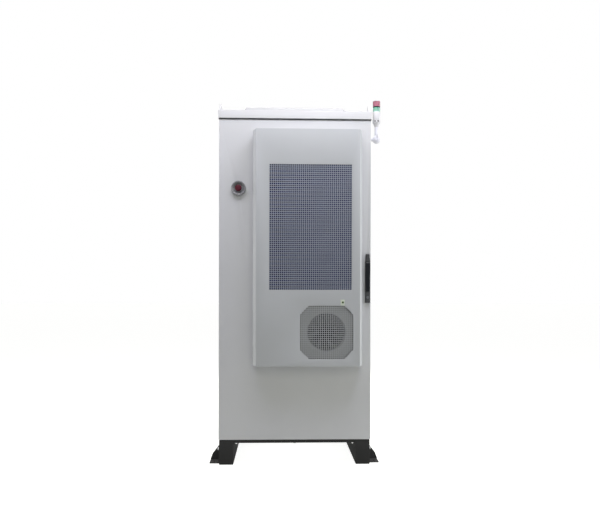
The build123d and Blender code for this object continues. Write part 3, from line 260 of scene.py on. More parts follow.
FINISHES = {
    "enclosure_paint": dict(color=(0.62, 0.625, 0.645), rough=0.5, grain=900.0, grain_height=0.05,
                            mottle=0.02, dust=0.15),
    "roof_paint": dict(color=(0.685, 0.685, 0.703), rough=0.5, grain=900.0, grain_height=0.05, mottle=0.02,
                       dust=0.2),
    # cap_paint_painted_shade is the roof paint made darker on the vent cap: painted shade
    "cap_paint_painted_shade": dict(color=(0.60, 0.60, 0.615), rough=0.55, grain=900.0, grain_height=0.05, mottle=0.02,
                      dust=0.1),
    "tab_paint": dict(color=(0.40, 0.40, 0.405), rough=0.5, mottle=0.03),
    "ac_paint": dict(color=(0.48, 0.495, 0.514), rough=0.48, grain=900.0, grain_height=0.05, mottle=0.02,
                     dust=0.15),
    # intake_grille_painted_shade is the A/C paint made darker and bluer: painted shade of the intake
    # grille's hole walls
    "intake_grille_painted_shade": dict(color=(0.41, 0.445, 0.55), rough=0.5, grain=900.0, mottle=0.02),
    "tub_paint": dict(color=(0.075, 0.077, 0.08), rough=0.65, mottle=0.05, specular=0.2),
    "plinth_paint": dict(color=(0.038, 0.038, 0.038), rough=0.75, grain=800.0, grain_height=0.06,
                         mottle=0.12, dust=0.06, specular=0.1),
    "inner_paint": dict(color=(0.60, 0.61, 0.62), rough=0.5, grain=900.0, mottle=0.03),
    "zinc": dict(color=(0.60, 0.61, 0.62), rough=0.38, metal=0.9, mottle=0.18, mottle_scale=45.0,
                 grain=500.0, grain_height=0.02),
    "fastener": dict(color=(0.66, 0.66, 0.66), rough=0.28, metal=1.0, mottle=0.1, mottle_scale=60.0),
    "black_plastic": dict(color=(0.016, 0.018, 0.022), rough=0.4, mottle=0.1, grain=1500.0,
                          grain_height=0.04),
    "lever_plastic": dict(color=(0.004, 0.005, 0.008), rough=0.5, mottle=0.1, grain=1500.0,
                          grain_height=0.04, specular=0.15),
    "lock_metal": dict(color=(0.10, 0.105, 0.115), rough=0.42, metal=0.7, mottle=0.08, mottle_scale=80.0),
    "gasket_rubber": dict(color=(0.02, 0.02, 0.021), rough=0.85, mottle=0.2, grain=1200.0,
                          grain_height=0.15),
    "guard_gray": dict(color=(0.27, 0.27, 0.285), rough=0.55, mottle=0.06, grain=1500.0),
    "stop_red": dict(color=(0.085, 0.010, 0.022), rough=0.5, mottle=0.08, grain=1500.0, grain_height=0.01,
                     specular=0.15),
    "gland_plastic": dict(color=(0.04, 0.04, 0.044), rough=0.55, mottle=0.1),
    "coil_fins": dict(color=(0.018, 0.028, 0.12), rough=0.55, mottle=0.12, mottle_scale=30.0, specular=0.1),
    "coil_tubes": dict(color=(0.018, 0.025, 0.09), rough=0.55, mottle=0.12, mottle_scale=30.0,
                       specular=0.1),
    "fan_plastic": dict(color=(0.011, 0.0115, 0.013), rough=0.6, mottle=0.12, grain=1500.0, specular=0.2),
    # shroud_paint_with_painted_shade is the shroud's grey paint made darker: painted shade seen through the
    # fan grille's holes
    "shroud_paint_with_painted_shade": dict(color=(0.29, 0.30, 0.30), rough=0.5, grain=900.0, mottle=0.04),
    "compressor_paint": dict(color=(0.02, 0.02, 0.022), rough=0.3, mottle=0.15),
    "copper": dict(color=(0.62, 0.29, 0.15), rough=0.32, metal=1.0, mottle=0.3, mottle_scale=25.0),
    "light_plate": dict(color=(0.60, 0.65, 0.54), rough=0.35, mottle=0.03),
    "status_green": dict(color=(0.07, 0.11, 0.035), rough=0.3, mottle=0.05),
    "beacon_shell": dict(color=(0.64, 0.635, 0.66), rough=0.35, mottle=0.02, grain=1500.0),
    # beacon_metal is lighter than the metal's own tone: painted light on the ball's shaded side
    "beacon_metal": dict(color=(0.78, 0.78, 0.83), rough=0.45, mottle=0.05, mottle_scale=30.0),
    "rack_paint": dict(color=(0.05, 0.05, 0.055), rough=0.5, mottle=0.1),
    "module_case": dict(color=(0.085, 0.087, 0.095), rough=0.5, mottle=0.08, grain=1100.0,
                        grain_height=0.08),
    "control_case": dict(color=(0.60, 0.61, 0.62), rough=0.5, mottle=0.03),
    "breaker_plastic": dict(color=(0.72, 0.72, 0.70), rough=0.4, mottle=0.03, grain=1200.0),
    # dark_mark colours black parts and the display, and as painted shade the module vents, beacon vents and
    # fuse recess
    "dark_mark": dict(color=(0.012, 0.012, 0.014), rough=0.5, mottle=0.1),
    "orange_plastic": dict(color=(0.75, 0.22, 0.02), rough=0.42, mottle=0.05, grain=1200.0),
}
LENSES = {
    "lens_green": dict(color=(0.42, 0.80, 0.65), deep=(0.3, 1.0, 0.6)),
    "lens_red": dict(color=(0.62, 0.20, 0.30), deep=(1.0, 0.2, 0.2)),
}
LOOKS = {name: finish_of(name, **values) for name, values in FINISHES.items()}
LOOKS.update({name: lens_of(name, **values) for name, values in LENSES.items()})
slots = {part["node"]: part["material_slot"] for part in frame["record"]["subparts"]}


def dress(mesh, look):
    mesh.materials.clear()
    mesh.materials.append(LOOKS[look])


# ---------------------------------------------------------------- mesh helpers
WELD = 0.002 * MM
SHARP_EDGE = math.radians(40)
def smooth_by_angle(mesh, degrees=35):
    mesh.polygons.foreach_set("use_smooth", [True] * len(mesh.polygons))
    mesh.set_sharp_from_angle(angle=math.radians(degrees))


def add_piece(name, bm, look, body, replaced=(), angle=35):
    """Turns a bmesh into a piece of the object that rides on a body."""
    mesh = bpy.data.meshes.new(name)
    bmesh.ops.recalc_face_normals(bm, faces=bm.faces)
    bm.to_mesh(mesh)
    bm.free()
    dress(mesh, look)
    smooth_by_angle(mesh, angle)
    piece = bpy.data.objects.new(name, mesh)
    bpy.context.scene.collection.objects.link(piece)
    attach(piece, body)
    if replaced:
        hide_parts(*replaced)
    return piece


def clean_copy(node):
    """A bmesh of a CAD node with whole flat faces."""
    bm = bmesh.new()
    bm.from_mesh(nodes[node].data)
    bmesh.ops.remove_doubles(bm, verts=bm.verts, dist=WELD)
    bmesh.ops.dissolve_limit(bm, angle_limit=math.radians(0.3), verts=bm.verts, edges=bm.edges)
    return bm


def bevel_sharp(bm, width, segments=2):
    edges = [e for e in bm.edges if len(e.link_faces) == 2 and e.calc_face_angle(0) > SHARP_EDGE]
    bmesh.ops.bevel(bm, geom=edges, offset=width, segments=segments, profile=0.6, affect="EDGES",
                    clamp_overlap=True)


def soften(node, width, look=None):
    """Replaces a CAD node by the same shape with rounded edges."""
    bm = clean_copy(node)
    bevel_sharp(bm, width)
    add_piece(node + ".soft", bm, look or slots[node], nodes[node]["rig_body"], (node,))


def centre(low, high):
    return (low + high) / 2


def quarter_turn(steps):
    """The angles of a quarter turn in equal steps, without the first."""
    return [math.pi / 2 * k / steps for k in range(1, steps + 1)]


def outline(base, points, radius=0.0):
    """(radius, height) points of a lathe from (out, up) steps in millimetres, out from radius and up from
    base."""
    return [(radius + out * MM, base + up * MM) for out, up in points]


def islands(node):
    """The box of each separate solid of a CAD node, as (lowest corner, highest corner)."""
    bm = bmesh.new()
    bm.from_mesh(nodes[node].data)
    bmesh.ops.remove_doubles(bm, verts=bm.verts, dist=WELD)
    seen, boxes = set(), []
    for start in bm.verts:
        if start in seen:
            continue
        group, queue = [], [start]
        seen.add(start)
        while queue:
            vert = queue.pop()
            group.append(vert.co.copy())
            for edge in vert.link_edges:
                other = edge.other_vert(vert)
                if other not in seen:
                    seen.add(other)
                    queue.append(other)
        low = Vector([min(v[k] for v in group) for k in range(3)])
        high = Vector([max(v[k] for v in group) for k in range(3)])
        boxes.append((low, high))
    bm.free()
    return boxes


def add_box(bm, low, high, bevel=0.0, segments=2):
    """A block with rounded edges, added to a bmesh."""
    made = bmesh.ops.create_cube(bm, size=1.0)["verts"]
    for vert in made:
        for k in range(3):
            vert.co[k] = low[k] if vert.co[k] < 0 else high[k]
    if bevel:
        edges = list({e for v in made for e in v.link_edges})
        bmesh.ops.bevel(bm, geom=edges, offset=bevel, segments=segments, profile=0.6, affect="EDGES",
                        clamp_overlap=True)


AXES = {"X": Matrix(((0, 0, 1), (1, 0, 0), (0, 1, 0))), "Y": Matrix(((1, 0, 0), (0, 0, 1), (0, -1, 0))),
        "Z": Matrix.Identity(3)}


def lathe(bm, profile, place=(0, 0, 0), axis="Z", steps=48):
    """Turns (radius, height) points about an axis through place. The heights run along the axis."""
    to_axis = AXES[axis]
    place = Vector(place)
    rings = []
    for radius, height in profile:
        if radius < 1e-7:
            rings.append([bm.verts.new(to_axis @ Vector((0, 0, height)) + place)])
            continue
        rings.append([bm.verts.new(to_axis @ Vector((radius * math.cos(TAU * i / steps),
                                                     radius * math.sin(TAU * i / steps), height)) + place)
                      for i in range(steps)])
    for ring, following in zip(rings, rings[1:]):
        for i in range(steps):
            j = (i + 1) % steps
            corners = [ring[i % len(ring)], ring[j % len(ring)], following[j % len(following)],
                       following[i % len(following)]]
            corners = list(dict.fromkeys(corners))
            if len(corners) > 2:
                bm.faces.new(corners)
    return rings


BOLT_WASHER_RADIUS = 1.25  # shares of the hexagon's radius and of the whole height
BOLT_WASHER_HEIGHT = 0.2
BOLT_CROWN_RADIUS = 0.86
BOLT_CROWN_START = 0.9


def hex_bolt(bm, tip, axis, sign, radius, height):
    """A bolt head on its washer. tip is the middle of the seat; the head points along sign times axis."""
    k = "XYZ".index(axis)
    out = Vector([sign if i == k else 0 for i in range(3)])
    spin = out.to_track_quat("Z", "Y").to_matrix()
    washer = BOLT_WASHER_HEIGHT * height

    def ring(r, h, count):
        corners = [Vector((r * math.cos(TAU * i / count), r * math.sin(TAU * i / count), h))
                   for i in range(count)]
        return [bm.verts.new(Vector(tip) + spin @ corner) for corner in corners]

    def wall(a, b):
        for i in range(len(a)):
            j = (i + 1) % len(a)
            bm.faces.new((a[i], a[j], b[j], b[i]))

    low = ring(radius * BOLT_WASHER_RADIUS, 0, 32)
    high = ring(radius * BOLT_WASHER_RADIUS, washer, 32)
    wall(low, high)
    bm.faces.new(high)
    bm.faces.new(low[::-1])
    base = ring(radius, washer, 6)
    top = ring(radius, height * BOLT_CROWN_START, 6)
    crown = ring(radius * BOLT_CROWN_RADIUS, height, 6)
    wall(base, top)
    wall(top, crown)
    bm.faces.new(crown)
    bm.faces.new(base[::-1])


# ---------------------------------------------------------------- sheet metal, frame and plinth
# width of each node's rounded edges, in millimetres
EDGE_WIDTHS = {
    "plinth_channels": 1.5, "plinth_cross_rails": 1.2, "anchor_brackets": 1.0, "corner_posts": 2.0,
    "frame_rails": 1.5, "floor_plate": 0.6, "gland_plate": 0.4, "side_panel_left": 0.7,
    "side_panel_right": 0.7, "rear_panel": 0.7, "roof_cover": 0.7, "roof_vent_cap": 0.5,
    "roof_cap_brackets": 0.8, "lifting_lugs": 1.6, "hinge_frame_leaves": 0.5, "hinge_door_leaves": 0.5,
    "strike_plates": 0.6, "battery_rack": 1.2, "door_panel": 0.4, "door_stiffeners": 1.0,
    "door_gasket": 2.5, "lock_gearbox": 1.0, "rod_guides": 1.0, "estop_contact_block": 1.2,
    "ac_cover": 0.8, "ac_chassis": 0.5, "beacon_bracket": 0.8, "beacon_stem": 0.6, "key_cylinder": 0.5,
}
# looks that differ from the node's own slot
# the vent cap's look is the roof paint darkened as painted shade
OTHER_LOOKS = {"roof_vent_cap": "cap_paint_painted_shade", "roof_cap_brackets": "tab_paint", "ac_chassis": "tub_paint"}


def soften_frame():
    for node, width in EDGE_WIDTHS.items():
        soften(node, width * MM, OTHER_LOOKS.get(node))


# ---------------------------------------------------------------- perforated grilles of the air conditioner
GRILLE_PITCH = 11.75 * MM
INTAKE_HOLE = 9.3 * MM
FAN_HOLE = 9.3 * MM
GRILLE_SHEET = 1.5 * MM
GRILLE_REACH = 0.3 * MM  # how far a sheet reaches past its CAD sheet on each side
FAN_CORNER_HOLES = 4
FAN_CORNER = 48 * MM


def add_hole_cells(bm, y, x0, z0, columns, rows, hole, corner_holes):
    """The cells of a perforated sheet, each a flat frame round a square hole. Cells share their
    corners."""
    wall = (GRILLE_PITCH - hole) / 2
    points = {}

    def point(x, z):
        key = (round(x * 1e6), round(z * 1e6))
        if key not in points:
            points[key] = bm.verts.new((x, y, z))
        return points[key]

    for i in range(columns):
        for j in range(rows):
            if min(i, columns - 1 - i) + min(j, rows - 1 - j) < corner_holes:
                continue
            left, right = x0 + i * GRILLE_PITCH, x0 + (i + 1) * GRILLE_PITCH
            foot, head = z0 + j * GRILLE_PITCH, z0 + (j + 1) * GRILLE_PITCH
            outer = [point(left, foot), point(right, foot), point(right, head), point(left, head)]
            inner = [point(left + wall, foot + wall), point(right - wall, foot + wall),
                     point(right - wall, head - wall), point(left + wall, head - wall)]
            for k in range(4):
                n = (k + 1) % 4
                bm.faces.new((outer[k], outer[n], inner[n], inner[k]))


def sheet_outline(low, high, corner):
    """The corners of a rectangle in X and Z, each cut off by corner."""
    if not corner:
        return [(low.x, low.z), (high.x, low.z), (high.x, high.z), (low.x, high.z)]
    return [(low.x, low.z + corner), (low.x + corner, low.z), (high.x - corner, low.z),
            (high.x, low.z + corner), (high.x, high.z - corner), (high.x - corner, high.z),
            (low.x + corner, high.z), (low.x, high.z - corner)]


def grille(name, look, low, high, columns, rows, hole, corner_holes, corner):
    """A perforated sheet in the box low to high. corner_holes rows step in at each corner, inside an
    outline whose corners are cut by corner."""
    bm = bmesh.new()
    start_x = (low.x + high.x) / 2 - columns * GRILLE_PITCH / 2
    start_z = (low.z + high.z) / 2 - rows * GRILLE_PITCH / 2
    add_hole_cells(bm, low.y, start_x, start_z, columns, rows, hole, corner_holes)
    border = [e for e in bm.edges if e.is_boundary and e.calc_length() > hole * 1.01]
    ring = [bm.verts.new((x, low.y, z)) for x, z in sheet_outline(low, high, corner)]
    rim = [bm.edges.new((ring[k], ring[(k + 1) % len(ring)])) for k in range(len(ring))]
    bmesh.ops.triangle_fill(bm, edges=border + rim, use_beauty=True)
    bmesh.ops.recalc_face_normals(bm, faces=bm.faces)
    if sum(f.normal.y for f in bm.faces) > 0:
        bmesh.ops.reverse_faces(bm, faces=bm.faces)
    bmesh.ops.solidify(bm, geom=bm.faces, thickness=GRILLE_SHEET)
    shift = low.y - min(v.co.y for v in bm.verts)
    bmesh.ops.translate(bm, vec=(0, shift, 0), verts=bm.verts)
    return add_piece(name, bm, look, "door", angle=30)


def make_grilles():
    boxes = sorted(islands("ac_grilles"), key=lambda b: b[0].z)
    reach = Vector((GRILLE_REACH, 0, GRILLE_REACH))
    (fan_low, fan_high), (intake_low, intake_high) = [(low - reach, high + reach) for low, high in boxes]
    count = int((fan_high.x - fan_low.x) / GRILLE_PITCH + 0.5)
    fan = grille("fan_grille", "ac_paint", fan_low, fan_high, count, count, FAN_HOLE, FAN_CORNER_HOLES,
                 FAN_CORNER)
    # a last column needs nine tenths of its width
    columns = int((intake_high.x - intake_low.x) / GRILLE_PITCH + 0.1)
    rows = int((intake_high.z - intake_low.z) / GRILLE_PITCH + 0.5)
    # the intake grille takes the darker, bluer paint as painted shade; the fan grille keeps the A/C paint
    intake = grille("intake_grille", "intake_grille_painted_shade", intake_low, intake_high, columns, rows, INTAKE_HOLE,
                    0, 0)
    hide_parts("ac_grilles")
    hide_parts("ac_grilles")


# ---------------------------------------------------------------- coils, fan and compressor
FIN_PITCH = 3.2 * MM
FIN_THICK = 0.9 * MM
COIL_TUBE_R = 4.5 * MM
COIL_TUBE_PITCH = 24 * MM


COIL_END_PLATE = 3 * MM
CONDENSER_FIN_DEPTH = 40 * MM


def coil_fins(node, low, high, deep):
    bm = bmesh.new()
    count = int((high.x - low.x - 2 * COIL_END_PLATE) / FIN_PITCH)
    for i in range(count):
        lean = 0.2 * MM * math.sin(i * 1.7)
        x = low.x + COIL_END_PLATE + (i + 0.5) * FIN_PITCH + lean
        add_box(bm, (x - FIN_THICK / 2, low.y + 1 * MM, low.z + 2 * MM),
                (x + FIN_THICK / 2, deep - 1 * MM, high.z - 2 * MM))
    for x in (low.x, high.x - COIL_END_PLATE):
        add_box(bm, (x, low.y, low.z), (x + COIL_END_PLATE, high.y, high.z), 0.4 * MM)
    for z in (low.z, high.z - COIL_END_PLATE):
        add_box(bm, (low.x, low.y, z), (high.x, deep, z + COIL_END_PLATE), 0.4 * MM)
    add_piece(node + ".fins", bm, "coil_fins", "door", (node,))


def coil_tubes(node, low, high, deep):
    bm = bmesh.new()
    rows = int((high.z - low.z - 20 * MM) / COIL_TUBE_PITCH)
    start, end = low.x + 1 * MM, high.x - 1 * MM
    tube = [(0, start), (COIL_TUBE_R, start), (COIL_TUBE_R, end), (0, end)]
    for row in range(rows):
        z = low.z + 16 * MM + row * COIL_TUBE_PITCH
        for share in (0.3, 0.7):
            lathe(bm, tube, (0, low.y + (deep - low.y) * share, z), "X", 12)
    add_piece(node + ".tubes", bm, "coil_tubes", "door")


def make_coils():
    for node, fin_depth in (("condenser_coil", CONDENSER_FIN_DEPTH), ("evaporator_coil", None)):
        low, high = islands(node)[0]
        deep = min(high.y, low.y + fin_depth) if fin_depth else high.y
        coil_fins(node, low, high, deep)
        coil_tubes(node, low, high, deep)


FAN_BLADES = 7
FAN_HUB_R = 32 * MM
FAN_HUB_WALL = 3 * MM
FAN_SHAFT_R = 6 * MM
FAN_MOUTH_R = 108 * MM
FAN_TIP_GAP = 6 * MM
BLADE_SPANS, BLADE_CHORDS = 9, 7
BLADE_HALF_THICK = 0.9 * MM
BLADE_CAMBER = 2.4 * MM
BLADE_CHORD = 30 * MM
SHROUD_HALF = 151 * MM
SHROUD_PLATE = 3 * MM
SHROUD_DEPTH = 40 * MM
SHROUD_SCREW_INSET = 12 * MM
BELL_RADIUS = 9 * MM
BELL_STEPS = 6


def blade_grid(low, high, middle, blade):
    """The middle surface of one swept blade, as points by (span, chord)."""
    reach = FAN_MOUTH_R - FAN_TIP_GAP
    deepest, shallowest = low.y + 1 * MM, high.y - 1 * MM
    grid = {}
    for a in range(BLADE_SPANS):
        share = a / (BLADE_SPANS - 1)
        radius = FAN_HUB_R - 1.5 * MM + (reach - FAN_HUB_R + 1.2 * MM) * share
        pitch = math.radians(40 - 14 * share)
        sweep = 0.30 * share ** 1.5
        chord = (0.92 + 0.42 * share) * BLADE_CHORD
        for b in range(BLADE_CHORDS):
            along = b / (BLADE_CHORDS - 1) - 0.5
            tangent = chord * along * math.cos(pitch) * 1.45
            depth = chord * along * math.sin(pitch) * 1.05 - BLADE_CAMBER * (1 - 4 * along * along)
            angle = TAU * blade / FAN_BLADES + sweep + tangent / radius
            y = min(max((low.y + high.y) / 2 + depth, deepest), shallowest)
            x, z = middle.x + radius * math.cos(angle), middle.z + radius * math.sin(angle)
            grid[a, b] = Vector((x, y, z))
    return grid


def add_blade(bm, grid):
    """Gives the middle surface of a blade its thickness."""
    thick = Vector((0, BLADE_HALF_THICK, 0))
    front = {k: bm.verts.new(v - thick) for k, v in grid.items()}
    back = {k: bm.verts.new(v + thick) for k, v in grid.items()}
    for a in range(BLADE_SPANS - 1):
        for b in range(BLADE_CHORDS - 1):
            ring = [(a, b), (a + 1, b), (a + 1, b + 1), (a, b + 1)]
            bm.faces.new([front[k] for k in ring])
            bm.faces.new([back[k] for k in ring[::-1]])
    for a in range(BLADE_SPANS - 1):
        for b in (0, BLADE_CHORDS - 1):
            bm.faces.new((front[a, b], front[a + 1, b], back[a + 1, b], back[a, b]))
    for b in range(BLADE_CHORDS - 1):
        for a in (0, BLADE_SPANS - 1):
            bm.faces.new((front[a, b], front[a, b + 1], back[a, b + 1], back[a, b]))


def make_fan():
    low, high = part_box("condenser_fan_rotor")
    middle = centre(*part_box("condenser_fan_shroud"))
    hub, inside = FAN_HUB_R, FAN_HUB_R - FAN_HUB_WALL
    floor_y, boss_y = low.y + 8 * MM, low.y + 5.5 * MM
    bm = bmesh.new()
    lathe(bm, [(0, low.y + 1 * MM), (hub * 0.55, low.y + 1 * MM), (hub * 0.86, low.y + 2.5 * MM),
               (hub, low.y + 6 * MM), (hub, high.y), (inside, high.y), (inside, floor_y),
               (FAN_SHAFT_R, floor_y), (FAN_SHAFT_R, boss_y), (0, boss_y)],
          (middle.x, 0, middle.z), "Y", 56)
    for blade in range(FAN_BLADES):
        add_blade(bm, blade_grid(low, high, middle, blade))
    add_piece("fan_rotor", bm, "fan_plastic", "fan", ("condenser_fan_rotor",), angle=50)


def square_plate(bm, ring, y, middle):
    """Fills between a round ring and the shroud's square outline at depth y, and returns its corners."""
    corners = [bm.verts.new((middle.x + SHROUD_HALF * a, y, middle.z + SHROUD_HALF * b))
               for a, b in ((-1, -1), (1, -1), (1, 1), (-1, 1))]
    edges = [bm.edges.new((corners[k], corners[(k + 1) % 4])) for k in range(4)]
    for i, vert in enumerate(ring):
        pair = (vert, ring[(i + 1) % len(ring)])
        edges.append(bm.edges.get(pair) or bm.edges.new(pair))
    bmesh.ops.triangle_fill(bm, edges=edges, use_beauty=True)
    return corners


def make_shroud():
    """Plate with a rounded bell mouth round the fan."""
    low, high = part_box("condenser_fan_shroud")
    middle = centre(low, high)
    front = low.y
    mouth = FAN_MOUTH_R + BELL_RADIUS
    outside = FAN_MOUTH_R + SHROUD_PLATE
    bm = bmesh.new()
    profile = [(mouth, front)]
    profile += [(mouth - BELL_RADIUS * math.sin(a), front + BELL_RADIUS * (1 - math.cos(a)))
                for a in quarter_turn(BELL_STEPS)]
    profile += [(FAN_MOUTH_R, front + SHROUD_DEPTH), (outside, front + SHROUD_DEPTH),
                (outside, front + 14 * MM), (mouth, front + SHROUD_PLATE)]
    rings = lathe(bm, profile, (middle.x, 0, middle.z), "Y", 64)
    near = square_plate(bm, rings[0], front, middle)
    far = square_plate(bm, rings[-1], front + SHROUD_PLATE, middle)
    for k in range(4):
        n = (k + 1) % 4
        bm.faces.new((near[k], near[n], far[n], far[k]))
    for x in (low.x + SHROUD_SCREW_INSET, high.x - SHROUD_SCREW_INSET):
        for z in (low.z + SHROUD_SCREW_INSET, high.z - SHROUD_SCREW_INSET):
            head = outline(front, ((0, -1.8), (5, -1.6), (6, 0)))
            lathe(bm, head + outline(high.y, ((6, 0), (0, 0))), (x, 0, z), "Y", 24)
    # the shroud's grey is darkened as painted shade behind the grille
    add_piece("fan_shroud", bm, "shroud_paint_with_painted_shade", "door", ("condenser_fan_shroud",))


COMPRESSOR_SEAM = 0.34  # height of the weld seam, as a share of the whole
SEAM_RISE = 1 * MM
COMPRESSOR_DOME = 34 * MM
FOOT_INSET = 8 * MM
FOOT_SHAPE = ((0, 0), (6, 0), (7, 1.5), (6, 3), (4, 8), (6, 11), (0, 12))


def make_compressor():
    low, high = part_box("compressor")
    middle = centre(low, high)
    r = (high.y - low.y) / 2
    wall = r - SEAM_RISE
    seam = low.z + (high.z - low.z) * COMPRESSOR_SEAM
    dome = high.z - COMPRESSOR_DOME
    bm = bmesh.new()
    profile = [(0, low.z + 9 * MM), (r * 0.72, low.z + 9 * MM), (r * 0.93, low.z + 14 * MM),
               (wall, low.z + 24 * MM)]
    profile += outline(seam, ((-1, -4), (0, -3), (0, 3), (-1, 4)), r) + [(wall, dome)]
    profile += [(wall * math.cos(a), dome + COMPRESSOR_DOME * math.sin(a)) for a in quarter_turn(8)]
    lathe(bm, profile, (middle.x, middle.y, 0), "Z", 56)
    add_box(bm, (low.x, low.y + 10 * MM, low.z + 3 * MM), (high.x, high.y - 10 * MM, low.z + 8 * MM),
            1 * MM)
    terminal_x = middle.x - r
    add_box(bm, (terminal_x - 6 * MM, middle.y - 20 * MM, seam + 10 * MM),
            (terminal_x + 12 * MM, middle.y + 20 * MM, seam + 62 * MM), 4 * MM)
    for x in (low.x + FOOT_INSET, high.x - FOOT_INSET):
        lathe(bm, outline(low.z, FOOT_SHAPE), (x, middle.y, 0), "Z", 24)
    add_piece("compressor.shell", bm, "compressor_paint", "door", ("compressor",))


# ---------------------------------------------------------------- emergency stop
GUARD_NECK_R = 13 * MM
GUARD_LIP = 4 * MM
GUARD_LIP_INSET = 3.2 * MM
GUARD_FLOOR = 16 * MM
# the guard's dish, out from its radius and back from its front, in millimetres
GUARD_DISH = ((-5.5, 0.4), (-6.6, 1.2), (-9, 4), (-13, 8.4), (-17.5, 13.4), (-20, 15.4))
# the button's crown and skirt: share of its radius, and millimetres from its front and from its back
STOP_CROWN = ((0, 0), (0.30, 0.15), (0.55, 0.7), (0.75, 1.7), (0.89, 3.3), (0.965, 5.2), (1, 7.5))
STOP_SKIRT = ((1, -5.2), (0.97, -4.2), (0.72, -0.4), (0.66, 0))
STOP_BORE_R = 8.05 * MM
STOP_BORE_FLOOR = 5 * MM
STOP_RIBS = 16
STOP_RIB_DEPTH = 0.4 * MM
STOP_RIB_MARGIN = 4 * MM


def make_stop_guard():
    low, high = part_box("estop_guard_ring")
    middle = centre(low, high)
    r = (high.x - low.x) / 2
    front, back = low.y, high.y
    bm = bmesh.new()
    profile = [(GUARD_NECK_R, back), (r, back), (r, front + GUARD_LIP)]
    profile += [(r - GUARD_LIP_INSET * (1 - math.cos(a)), front + GUARD_LIP * (1 - math.sin(a)))
                for a in quarter_turn(5)]
    profile += outline(front, GUARD_DISH, r) + [(GUARD_NECK_R, front + GUARD_FLOOR), (GUARD_NECK_R, back)]
    lathe(bm, profile, (middle.x, 0, middle.z), "Y", 72)
    add_piece("stop_guard", bm, "guard_gray", "door", ("estop_guard_ring",))


def make_stop_head():
    middle = centre(*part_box("estop_guard_ring"))
    low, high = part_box("estop_mushroom")
    r = (high.x - low.x) / 2
    front, back = low.y, high.y
    bm = bmesh.new()
    profile = [(r * share, front + depth * MM) for share, depth in STOP_CROWN]
    profile += [(r * share, back + depth * MM) for share, depth in STOP_SKIRT]
    profile += [(STOP_BORE_R, back), (STOP_BORE_R, front + STOP_BORE_FLOOR), (0, front + STOP_BORE_FLOOR)]
    lathe(bm, profile, (middle.x, 0, middle.z), "Y", 64)
    for vert in bm.verts:
        out = Vector((vert.co.x - middle.x, 0, vert.co.z - middle.z))
        if out.length > r * 0.9 and front + STOP_RIB_MARGIN < vert.co.y < back - STOP_RIB_MARGIN:
            wave = 1 + math.cos(STOP_RIBS * math.atan2(out.z, out.x))
            vert.co -= out.normalized() * STOP_RIB_DEPTH * wave
    add_piece("stop_head", bm, "stop_red", "stop_head", ("estop_mushroom",), angle=50)


# ---------------------------------------------------------------- status light
STATUS_PLATE_BACK = 0.7 * MM
STATUS_LENS_OFFSET = Vector((1.5 * MM, 0, 1 * MM))


def make_status():
    low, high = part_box("ac_status_light")
    place = centre(low, high) + STATUS_LENS_OFFSET
    bm = bmesh.new()
    add_box(bm, (low.x, low.y + STATUS_PLATE_BACK, low.z), high, 0.3 * MM)
    add_piece("status_plate", bm, "light_plate", "door", ("ac_status_light",))
    bm = bmesh.new()
    lens = outline(low.y, ((0, 0), (5.2, 0.1), (6.2, 0.5))) + outline(high.y, ((6.2, 0), (0, 0)))
    lathe(bm, lens, (place.x, 0, place.z), "Y", 32)
    add_piece("status_lens", bm, "status_green", "door")


# ---------------------------------------------------------------- swing handle
RAIL_OUT = 6.2 * MM
RAIL_HALF = 0.7 * MM
RAIL_DEEP = 1.2 * MM
RAIL_FOOT, RAIL_HEAD = 22 * MM, 26 * MM


def make_handle():
    low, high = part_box("handle_escutcheon")
    bm = clean_copy("handle_escutcheon")
    bevel_sharp(bm, 1.6 * MM, 3)
    add_piece("handle_base", bm, "black_plastic", "door", ("handle_escutcheon",))
    bm = clean_copy("handle_lever")
    bevel_sharp(bm, 2.2 * MM, 3)
    lever_low, lever_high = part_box("handle_lever")
    for side in (-1, 1):
        rail = (low.x + high.x) / 2 + side * RAIL_OUT
        add_box(bm, (rail - RAIL_HALF, lever_low.y, lever_low.z + RAIL_FOOT),
                (rail + RAIL_HALF, lever_low.y + RAIL_DEEP, lever_high.z - RAIL_HEAD), 0.35 * MM)
    add_piece("handle_grip", bm, "lever_plastic", "lever", ("handle_lever",))


# ---------------------------------------------------------------- signal beacon
BEACON_STEPS = 64
RIB_HEIGHT = 3.4 * MM
RIB_DEPTH = 1.2 * MM
RIB_SHOULDER = 0.2 * MM
CONE_HEIGHT = 24 * MM
# painted shade of vent openings, as dark patches: turn about the beacon's axis in degrees, and width in
# millimetres
BEACON_VENT_SHADES = ((-29, 7), (19, 12))
# the housing, out and up in millimetres: its foot, its shoulder with the groove above it, and its top edge
BEACON_FOOT = ((0, 0), (12, 0), (13, 3), (16, 12))
BEACON_SHOULDER = ((-4, -2), (-1.5, 0), (0, 1.5), (0, 20), (-0.8, 20.6), (-0.8, 21.8), (0, 22.4))
BEACON_TOP = ((0, -3), (-0.8, -1), (-1.5, 0))


def ribbed(low, high, r):
    groove = r - RIB_DEPTH
    profile = [(0, low.z), (groove, low.z)]
    ribs = max(3, round((high.z - low.z) / RIB_HEIGHT))
    step = (high.z - low.z) / ribs
    for k in range(ribs):
        z = low.z + k * step
        profile += [(groove, z + 0.12 * step), (r - RIB_SHOULDER, z + 0.32 * step), (r, z + 0.5 * step),
                    (r - RIB_SHOULDER, z + 0.68 * step), (groove, z + 0.88 * step)]
    return profile + [(groove, high.z), (0, high.z)]


def make_beacon_lens(node, look):
    low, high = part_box(node)
    middle = centre(low, high)
    bm = bmesh.new()
    lathe(bm, ribbed(low, high, (high.x - low.x) / 2), (middle.x, middle.y, 0), "Z", BEACON_STEPS)
    add_piece(node + ".ribbed", bm, look, "beacon", (node,))


